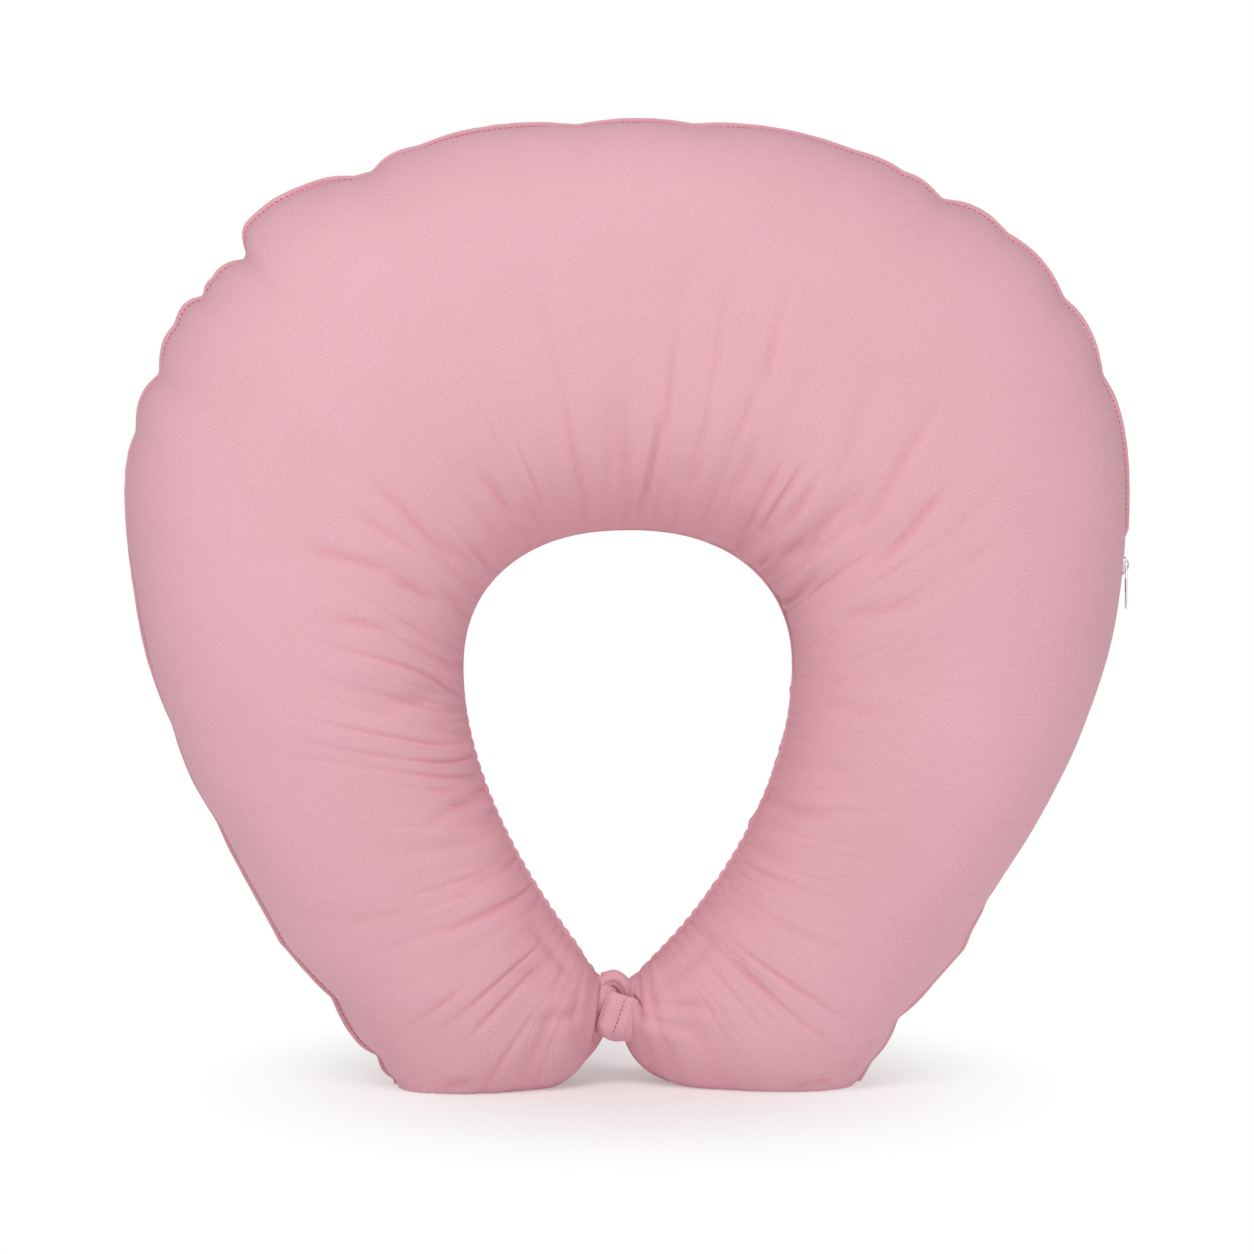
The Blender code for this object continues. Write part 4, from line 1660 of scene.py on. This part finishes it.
@dataclass
class Zip:
    """The zip in the right side: tapes, coils, stops, slider and pull tab."""

    form: PillowForm
    start: float = 4.8
    end: float = 37.2
    pitch: float = 0.0025
    rest: float = 6.14
    wire: float = 0.00036
    run_on: float = 2.0
    tape_wall: float = 0.0006
    tape_columns: tuple = (0.0003, 0.0008, 0.0014, 0.0020, 0.0026, 0.0034, 0.0045, 0.0060,
                           0.0075, 0.0090, 0.0105, 0.0120, 0.0135, 0.0150)
    tape_sink: float = 0.0004
    tape_ripple: float = 0.0001
    tape_end_edge: float = 0.0009
    coil_margin: float = 0.6
    coil_middle: float = 0.00145
    coil_half_width: float = 0.00115
    coil_lift: float = 0.00015
    coil_half_height: float = 0.00062
    coil_squareness: float = 0.7
    coil_steps: int = 14
    stop_size: tuple = (0.0030, 0.0048, 0.0021)
    stop_lift: float = 0.0001
    stop_bevel: float = 0.0006
    slider_half_length: float = 0.005
    plate_narrowing: float = 0.30
    rail_narrowing: float = 0.26
    bridge_half_length: float = 0.0033
    bridge_foot_z: float = 0.0019
    bridge_rise: float = 0.0023
    bridge_half_width: float = 0.0009
    bridge_half_thickness: float = 0.00042

    def on_arc(self, radius: float, angle: float) -> Vector:
        """A point on the right side's arc or beside it.

        Args:
            radius: How far it is from the arc's centre.
            angle: In degrees below the widest line.

        Returns:
            The point, in the seam plane.
        """
        turn = math.radians(angle)
        centre = self.form.width / 2 - self.form.side_radius
        return Vector((centre + radius * math.cos(turn), 0,
                       self.form.waist_z - radius * math.sin(turn)))

    def frame_at(self, angle: float) -> Matrix:
        """Local axes on the chain: X down along it, Y across, Z away from the pillow.

        Args:
            angle: In degrees on the side's arc.

        Returns:
            The matrix that puts a part on the chain there.
        """
        turn = math.radians(angle)
        out = Vector((math.cos(turn), 0, -math.sin(turn)))
        down = Vector((-math.sin(turn), 0, -math.cos(turn)))
        across = out.cross(down)
        axes = Matrix((down, across, out)).transposed().to_4x4()
        return Matrix.Translation(self.on_arc(self.form.side_radius, angle)) @ axes

    def sink(self, offset: float, beyond: float) -> float:
        """How far the tape lies below the arc.

        Args:
            offset: The distance from the chain's middle.
            beyond: How far past the chain's end, as a share of the run-on; below 0 inside it.

        Returns:
            The depth: more under the coil, under the panel's edge and past each end.
        """
        under_coil = 0.0008 * float(smooth_step(np.array((0.0034 - offset) / 0.0010)))
        sunk = self.tape_sink + 0.0016 * max(0.0, (offset - 0.009) / 0.006) + under_coil
        sunk += 0.0022 * float(smooth_step(np.array((offset - 0.0108) / 0.0030)))
        return sunk + 0.0045 * float(smooth_step(np.array(beyond * 2.2 - 1.2)))

    def tape(self, side: Side, material: bpy.types.Material) -> bpy.types.Object:
        """One tape, running on under the panel's edge.

        Args:
            side: Front or back.
            material: The tape's weave.

        Returns:
            The tape.
        """
        angles = np.linspace(self.start - self.run_on, self.end + self.run_on, 260)
        across = np.array(self.tape_columns)
        noise = Lattice(501)
        points = np.empty((len(angles), len(across), 3))
        for row, angle in enumerate(angles):
            for column, offset in enumerate(across):
                beyond = max(self.start - angle, angle - self.end) / self.run_on
                radius = self.form.side_radius - self.sink(offset, beyond)
                radius += self.tape_ripple * float(noise.at(angle * 2, column / 6))
                spot = self.on_arc(radius, angle)
                inner = max(offset, self.tape_end_edge) if beyond < 0 else offset
                points[row, column] = (spot.x, side.value * inner, spot.z)
        along = np.radians(angles) * self.form.side_radius
        pattern = np.stack(np.meshgrid(along, across, indexing="ij"), axis=-1)
        piece = grid_piece(f"zip_tape_{side.name.lower()}_cloth", points, pattern)
        thicken(piece, self.tape_wall)
        outward(piece)
        return finish_piece(piece, material, "pillow", "zip_tape",
                            f"zip_tape_{side.name.lower()}")

    def coil(self, side: Side, material: bpy.types.Material) -> bpy.types.Object:
        """One coil: a nylon wire wound along the tape's edge.

        Args:
            side: Front or back.
            material: The nylon.

        Returns:
            The coil.
        """
        sweep = self.end - self.start - 2 * self.coil_margin
        turns = int(math.radians(sweep) * self.form.side_radius / self.pitch)
        steps = np.linspace(0, 1, turns * self.coil_steps)
        wound = 2 * math.pi * (turns * steps + (0.5 if side is Side.BACK else 0.0))
        flat = signed_power(np.cos(wound), self.coil_squareness)
        across = side.value * (self.coil_middle + self.coil_half_width * flat)
        lift = self.coil_lift + self.coil_half_height * np.sin(wound)
        angles = self.start + self.coil_margin + sweep * steps
        centre = self.form.width / 2 - self.form.side_radius
        radius = self.form.side_radius + lift
        turn = np.radians(angles)
        path = np.stack([centre + radius * np.cos(turn), across,
                         self.form.waist_z - radius * np.sin(turn)], axis=1)
        forward = directions(path)
        out = np.stack([np.cos(turn), 0 * turn, -np.sin(turn)], axis=1)
        first = np.cross(forward, out + 0.3 * np.array([0, side.value, 0]))
        first /= np.linalg.norm(first, axis=1)[:, None]
        second = np.cross(forward, first)
        round_turn = np.linspace(0, 2 * math.pi, 6, endpoint=False)
        rings = (path[:, None, :]
                 + self.wire * np.cos(round_turn)[None, :, None] * first[:, None, :]
                 + self.wire * np.sin(round_turn)[None, :, None] * second[:, None, :])
        piece = tube_piece(f"zip_coil_{side.name.lower()}_wire", rings)
        return finish_piece(piece, material, "pillow", "zip_nylon",
                            f"zip_coil_{side.name.lower()}")

    def block(self, size: tuple, centre: tuple, bevel: float = 0.0003) -> bpy.types.Object:
        """A box primitive with bevelled edges, in the slider's own axes.

        Args:
            size: Its three sides.
            centre: Where its middle is.
            bevel: The width of its bevelled edges.

        Returns:
            The box.
        """
        deselect()
        bpy.ops.mesh.primitive_cube_add(size=1, location=centre, scale=size)
        piece = bpy.context.object
        bpy.ops.object.transform_apply(location=True, rotation=True, scale=True)
        soft = piece.modifiers.new("edge", "BEVEL")
        soft.width = bevel
        soft.segments = 3
        apply_all(piece)
        return piece

    def stop(self, name: str, angle: float, material: bpy.types.Material) -> bpy.types.Object:
        """A crimped stop across both coils.

        Args:
            name: The CAD node that it stands for.
            angle: Where it sits, in degrees on the side's arc.
            material: The metal.

        Returns:
            The stop.
        """
        piece = self.block(self.stop_size, (0, 0, self.stop_lift), self.stop_bevel)
        place(piece, self.frame_at(angle))
        piece.name = piece.data.name = f"{name}_clip"
        return finish_piece(piece, material, "pillow", "nickel_plate", name)

    def narrowed(self, piece: bpy.types.Object, amount: float) -> None:
        """Draws a slider part in towards its lower end.

        Args:
            piece: The part, in the slider's own axes.
            amount: The share of its width that the lower end loses.
        """
        for vertex in piece.data.vertices:
            down = float(smooth_step(np.array(vertex.co.x / self.slider_half_length)))
            vertex.co.y *= 1 - amount * down

    def slider(self, material: bpy.types.Material) -> bpy.types.Object:
        """The slider's two plates, its wedge and the bridge that holds the pull tab.

        Args:
            material: The metal.

        Returns:
            The slider.
        """
        top = self.block((0.0100, 0.0094, 0.0011), (0, 0, 0.00160), 0.0004)
        bottom = self.block((0.0094, 0.0088, 0.0009), (0, 0, -0.0022), 0.0003)
        for plate in (top, bottom):
            self.narrowed(plate, self.plate_narrowing)
        wedge = self.block((0.0026, 0.0009, 0.0040), (-0.0036, 0, -0.0003), 0.0002)
        rails = []
        for side in (-1, 1):
            rail = self.block((0.0080, 0.0009, 0.0014), (-0.0005, side * 0.0043, 0.0009), 0.0003)
            self.narrowed(rail, self.rail_narrowing)
            rails.append(rail)
        bridge = self._bridge()
        piece = joined("zip_slider_body", [top, bottom, wedge, bridge, *rails])
        place(piece, self.frame_at(self.rest))
        outward(piece)
        return finish_piece(piece, material, "slider", "nickel_plate", "zip_slider")

    def _bridge(self) -> bpy.types.Object:
        """The arched bridge over the slider's top plate.

        Returns:
            The bridge, in the slider's own axes.
        """
        swing = math.pi * np.linspace(0, 1, 25)
        arch = self.bridge_foot_z + self.bridge_rise * np.sin(swing) ** 0.8
        path = np.stack([-self.bridge_half_length * np.cos(swing), 0 * swing, arch], axis=1)
        out = np.cross(directions(path), (0, 1, 0))
        turn = np.linspace(0, 2 * math.pi, 12, endpoint=False)
        wide = self.bridge_half_width * signed_power(np.cos(turn), 0.5)
        thick = self.bridge_half_thickness * signed_power(np.sin(turn), 0.5)
        rings = (path[:, None, :] + thick[None, :, None] * out[:, None, :]
                 + wide[None, :, None] * np.array((0, 1, 0)))
        return tube_piece("bridge", rings)

    def pull(self, material: bpy.types.Material) -> bpy.types.Object:
        """The pull tab: a plate with rounded ends, a window for the bridge and a raised rib.

        Args:
            material: The metal.

        Returns:
            The pull tab.
        """
        low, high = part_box("zip_pull_tab")
        middle = (low + high) / 2
        length = high.z - low.z
        plate = self.block((0.0009, 0.0048, length), (middle.x, 0, middle.z), 0.0002)
        deselect()
        narrow, waist_share, waist_pull = 0.74, 0.28, 2.2
        for vertex in plate.data.vertices:
            share = (vertex.co.z - low.z) / length
            swell = math.cos((share - waist_share) * waist_pull) ** 2
            vertex.co.y *= narrow + 0.26 * swell
        window = self.block((0.004, 0.0030, 0.0034), (middle.x, 0, high.z - 0.0028), 0.0006)
        self.cut(plate, window)
        hole = self.block((0.004, 0.0022, 0.0062), (middle.x, 0, low.z + 0.0060), 0.0008)
        self.cut(plate, hole)
        rib = self.block((0.0015, 0.0011, 0.0078), (middle.x, 0, middle.z + 0.0008), 0.0004)
        piece = joined("zip_pull_plate", [plate, rib])
        piece = finish_piece(piece, material, "pull", "nickel_plate", "zip_pull_tab")
        active(piece)
        bpy.ops.object.shade_smooth_by_angle(angle=math.radians(40))
        return piece

    def cut(self, piece: bpy.types.Object, tool: bpy.types.Object) -> None:
        """Cuts one box out of another and removes the tool.

        Args:
            piece: The box that is cut.
            tool: The box that is taken away.
        """
        change = piece.modifiers.new("cut", "BOOLEAN")
        change.operation = "DIFFERENCE"
        change.object = tool
        apply_all(piece)
        bpy.data.objects.remove(tool)


# ---------------------------------------------------------------- label


@dataclass
class CareLabel:
    """The blank woven label at the back of the right shoulder."""

    form: PillowForm
    length: float = 0.026
    width: float = 0.026
    wall: float = 0.0005
    rise: float = 0.0010
    above_middle: float = 0.01
    section_turn: float = 1.2
    section_steps: int = 400
    from_seam: float = 0.0012
    free_end_lift: float = 0.0016
    count: int = 40

    def build(self, relief: Relief, tape: bpy.types.Material) -> bpy.types.Object:
        """Lays the label on the back panel, one end in the seam.

        Args:
            relief: The cover's relief, which the label follows.
            tape: The label's finish.

        Returns:
            The label.
        """
        low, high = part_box("care_label")
        label_z = (low.z + high.z) / 2 + self.above_middle
        clock = math.degrees(math.atan2(label_z - self.form.waist_z, high.x))
        middle = self.form.place_at(clock)
        half = self.width / 2 / self.form.length / OUTER_STRETCH
        t = np.linspace(middle - half, middle + half, self.count)
        turn = np.linspace(0.0, self.section_turn, self.section_steps)
        turn = np.broadcast_to(turn, (self.count, self.section_steps))
        points, _ = self.form.sections(t, turn, Side.BACK, -self.rise)
        points[..., 1] += relief.height(t, points, Side.BACK)
        kept = np.empty((self.count, self.count, 3))
        for row in range(self.count):
            along = lengths_along(points[row])
            spots = np.linspace(self.from_seam, self.length, self.count)
            kept[row] = resampled(points[row], along, spots)
        lift = self.free_end_lift * np.linspace(0, 1, self.count) ** 3
        kept[..., 1] += lift[None, :]
        metres = np.linspace(0, self.length, self.count)
        pattern = np.stack(np.meshgrid(metres, metres, indexing="ij"), axis=-1)
        piece = grid_piece("care_label_tape", kept, pattern)
        thicken(piece, self.wall)
        outward(piece)
        return finish_piece(piece, tape, "pillow", "label_tape", "care_label")


# ---------------------------------------------------------------- finishes


@dataclass(frozen=True)
class FibreFinish:
    """White wadding: tangled, matt and uneven."""

    name: str = "white_wadding"
    dark: tuple = (0.78, 0.78, 0.77)
    light: tuple = (0.93, 0.93, 0.92)
    tangle_scale: float = 900.0
    sheen: float = 0.4
    bump: float = 0.8
    rise: float = 0.0008

    def build(self) -> bpy.types.Material:
        """Makes the material.

        Returns:
            The wadding's material.
        """
        graph = Graph(self.name)
        tangle = graph.noise(graph.coordinates(), self.tangle_scale, 4.0)
        graph.set(base_color=graph.colour(tangle, self.dark, self.light),
                  roughness=1.0, sheen_weight=self.sheen)
        graph.bump(tangle, self.bump, self.rise)
        return graph.material


@dataclass(frozen=True)
class NylonFinish:
    """Moulded nylon, slightly glossy, with fine drawing lines."""

    name: str
    colour: tuple
    darkening: float = 0.85
    grain_scale: float = 1800.0
    roughness: tuple = (0.3, 0.5)
    specular: float = 0.5
    bump: float = 0.15
    rise: float = 0.00005

    def build(self) -> bpy.types.Material:
        """Makes the material.

        Returns:
            The nylon's material.
        """
        graph = Graph(self.name)
        grain = graph.noise(graph.coordinates(), self.grain_scale, 2.0)
        darker = tuple(self.darkening * value for value in self.colour)
        low, high = self.roughness
        graph.set(base_color=graph.colour(grain, darker, self.colour),
                  roughness=graph.node("ShaderNodeMapRange", {}, {
                      "Value": grain, "To Min": low, "To Max": high}),
                  specular_ior_level=self.specular)
        graph.bump(grain, self.bump, self.rise)
        return graph.material


@dataclass(frozen=True)
class NickelFinish:
    """Bright nickel plate with fine polishing marks and a few dull patches."""

    name: str = "nickel"
    mark_scale: tuple = (300, 6000, 900)
    mark_bump: float = 0.12
    mark_rise: float = 0.00003
    dull_scale: float = 350.0
    dull_colour: tuple = (0.60, 0.59, 0.57)
    bright_colour: tuple = (0.74, 0.73, 0.71)
    polished: float = 0.16
    dulling: float = 0.22

    def build(self) -> bpy.types.Material:
        """Makes the material.

        Returns:
            The plate's material.
        """
        graph = Graph(self.name)
        marks = graph.noise(graph.coordinates(self.mark_scale), 1.0, 3.0)
        dull = graph.noise(graph.coordinates(), self.dull_scale, 2.0)
        graph.set(base_color=graph.colour(dull, self.dull_colour, self.bright_colour),
                  metallic=1.0, roughness=(dull * self.dulling) + self.polished)
        graph.bump(marks, self.mark_bump, self.mark_rise)
        return graph.material


# ---------------------------------------------------------------- studio


@dataclass
class Studio:
    """White floor, soft light and the camera."""

    distance: float = 3.0
    azimuth: float = math.radians(-2.2)
    elevation: float = math.radians(4.0)
    target: tuple = (-0.0005, 0.0, 0.2580)
    view_width: float = 0.7045
    sensor: float = 36.0
    ambient: float = 0.45
    footprint: tuple = (0.13, 0.16)
    glow_near: float = 0.26
    glow_start: float = 0.40
    glow_end: float = 2.0

    def floor(self) -> None:
        """Adds the floor: its glow hides the horizon, and nearer the pillow is painted light in its
        shadows.
        """
        deselect()
        bpy.ops.mesh.primitive_plane_add(size=80, location=(0, 0, 0))
        plane = bpy.context.object
        plane.name = "studio_floor"
        graph = Graph("studio_white")
        # Painted light: the floor's slight pink stands in for light bounced off the pillow.
        graph.set(base_color=(0.93, 0.895, 0.895), roughness=0.9, specular_ior_level=0.0)
        spot = graph.coordinates((1 / self.footprint[0], 1 / self.footprint[1], 0))
        away = graph.node("ShaderNodeVectorMath", {"operation": "LENGTH"}, {0: spot}, "Value")
        eased = graph.node("ShaderNodeMapRange", {"interpolation_type": "SMOOTHSTEP"}, {
            "Value": away, "From Min": self.glow_start, "From Max": self.glow_end})
        # Painted light: even under and beside the pillow the floor glows in part, which lightens its
        # shadows.
        far = eased * (1 - self.glow_near) + self.glow_near
        glow = graph.node("ShaderNodeEmission", {}, {"Color": (1, 1, 1), "Strength": 1.0})
        lit = Socket(graph, graph.shader.outputs[0])
        mixed = graph.node("ShaderNodeMixShader", {}, {0: far, 1: lit, 2: glow})
        graph.feed(graph.tree.nodes["Material Output"].inputs["Surface"], mixed)
        plane.data.materials.append(graph.material)

    def lamp(self, name: str, spot: tuple, size: float, power: float) -> None:
        """Adds an area light that faces the pillow.

        Args:
            name: The light's name.
            spot: Where it stands.
            size: The side of its square.
            power: In watts.
        """
        light = bpy.data.lights.new(name, "AREA")
        light.size = size
        light.energy = power
        lamp = bpy.data.objects.new(name, light)
        lamp.location = spot
        aim = Vector(self.target) - Vector(spot)
        lamp.rotation_euler = aim.to_track_quat("-Z", "Y").to_euler()
        bpy.context.collection.objects.link(lamp)

    def camera(self) -> None:
        """Adds the camera."""
        lens = bpy.data.cameras.new("studio_camera")
        lens.sensor_width = self.sensor
        lens.lens = self.sensor * self.distance / self.view_width
        camera = bpy.data.objects.new("studio_camera", lens)
        flat = math.cos(self.elevation)
        away = Vector((math.sin(self.azimuth) * flat, -math.cos(self.azimuth) * flat,
                       math.sin(self.elevation)))
        camera.location = Vector(self.target) + self.distance * away
        camera.rotation_euler = (-away).to_track_quat("-Z", "Y").to_euler()
        bpy.context.collection.objects.link(camera)
        bpy.context.scene.camera = camera

    def surround(self) -> None:
        """Adds a white surround that lights the pillow only softly."""
        world = bpy.data.worlds.new("studio_world")
        world.use_nodes = True
        tree = world.node_tree
        background = tree.nodes["Background"]
        background.inputs["Color"].default_value = (1, 1, 1, 1)
        path = tree.nodes.new("ShaderNodeLightPath")
        strength = tree.nodes.new("ShaderNodeMapRange")
        strength.inputs["To Min"].default_value = self.ambient
        tree.links.new(path.outputs["Is Camera Ray"], strength.inputs["Value"])
        tree.links.new(strength.outputs["Result"], background.inputs["Strength"])
        bpy.context.scene.world = world
        bpy.context.scene.view_settings.view_transform = "Standard"

    def build(self) -> None:
        """Adds everything."""
        self.surround()
        self.floor()
        self.lamp("softbox_top_front", (-0.48, -1.7, 2.3), 1.2, 33)
        self.lamp("softbox_front", (0.5, -2.8, 0.9), 1.3, 12)
        self.camera()


# ---------------------------------------------------------------- main


def main() -> None:
    """Builds every piece in order, then the studio."""
    logging.basicConfig(level=logging.INFO, format="%(name)s: %(message)s")
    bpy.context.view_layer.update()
    low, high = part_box("cover_front_panel")
    form = PillowForm(width=high.x - low.x, height=high.z, depth=-2 * low.y)
    # The cotton's last colour is painted shade, for the creases and the cloth near the opening.
    cotton = WovenFinish("pink_cotton", (0.800, 0.455, 0.520), (0.615, 0.312, 0.362),
                         tuck=(0.65, 0.24, 0.28)).build()
    edging = WovenFinish("pink_edging", (0.76, 0.41, 0.475), (0.68, 0.345, 0.405)).build()
    thread = WovenFinish("pink_thread", (0.55, 0.19, 0.27), (0.46, 0.15, 0.22), 0.0003).build()
    calico = WovenFinish("white_calico", (0.86, 0.85, 0.82), (0.80, 0.79, 0.76)).build()
    satin = WovenFinish("label_satin", (0.90, 0.89, 0.88), (0.84, 0.83, 0.82), 0.0005,
                        roughness=0.5).build()
    tape = WovenFinish("zip_tape_weave", (0.74, 0.37, 0.44), (0.66, 0.31, 0.38), 0.0009).build()
    nylon = NylonFinish("pink_nylon", (0.72, 0.33, 0.42)).build()
    nickel = NickelFinish().build()

    relief = Relief(form)
    cover = Cover(form, relief)
    stuffing = Stuffing(form)
    for side in Side:
        cover.panel(side, cotton)
        stuffing.casing(side, calico)
    stuffing.fibre(FibreFinish().build())

    zip_start, zip_end = cover.zip_span()
    left_corner = form.place_at(LEFT_CORNER_CLOCK)
    right_corner = form.place_at(RIGHT_CORNER_CLOCK)
    edges = (
        SeamEdge(form, "outer_edge", "outer_seam_binding", left_corner, zip_start),
        SeamEdge(form, "lower_right_edge", "lower_right_seam_binding", zip_end, right_corner,
                 taper_in=0.018, seed=320),
        SeamEdge(form, "opening_edge", "inner_seam_binding", *OPENING_EDGE_SPAN, inner=True,
                 proud=0.0008, root=0.0046, half_thickness=0.0008, gather=0.0009, seed=340),
    )
    for edge in edges:
        edge.build(edging)
        if not edge.inner:
            for side in Side:
                edge.stitches(thread, side)

    knot = Knot()
    knot.neck(cotton)
    knot.loop(cotton)
    knot.stitches(thread)

    zipper = Zip(form)
    for side in Side:
        zipper.tape(side, tape)
        zipper.coil(side, nylon)
    zipper.stop("zip_top_stop", zipper.start + 0.25, nickel)
    zipper.stop("zip_bottom_stop", zipper.end - 0.25, nickel)
    zipper.slider(nickel)
    zipper.pull(nickel)
    CareLabel(form).build(relief, satin)

    Studio().build()


if __name__ == "__main__":
    main()
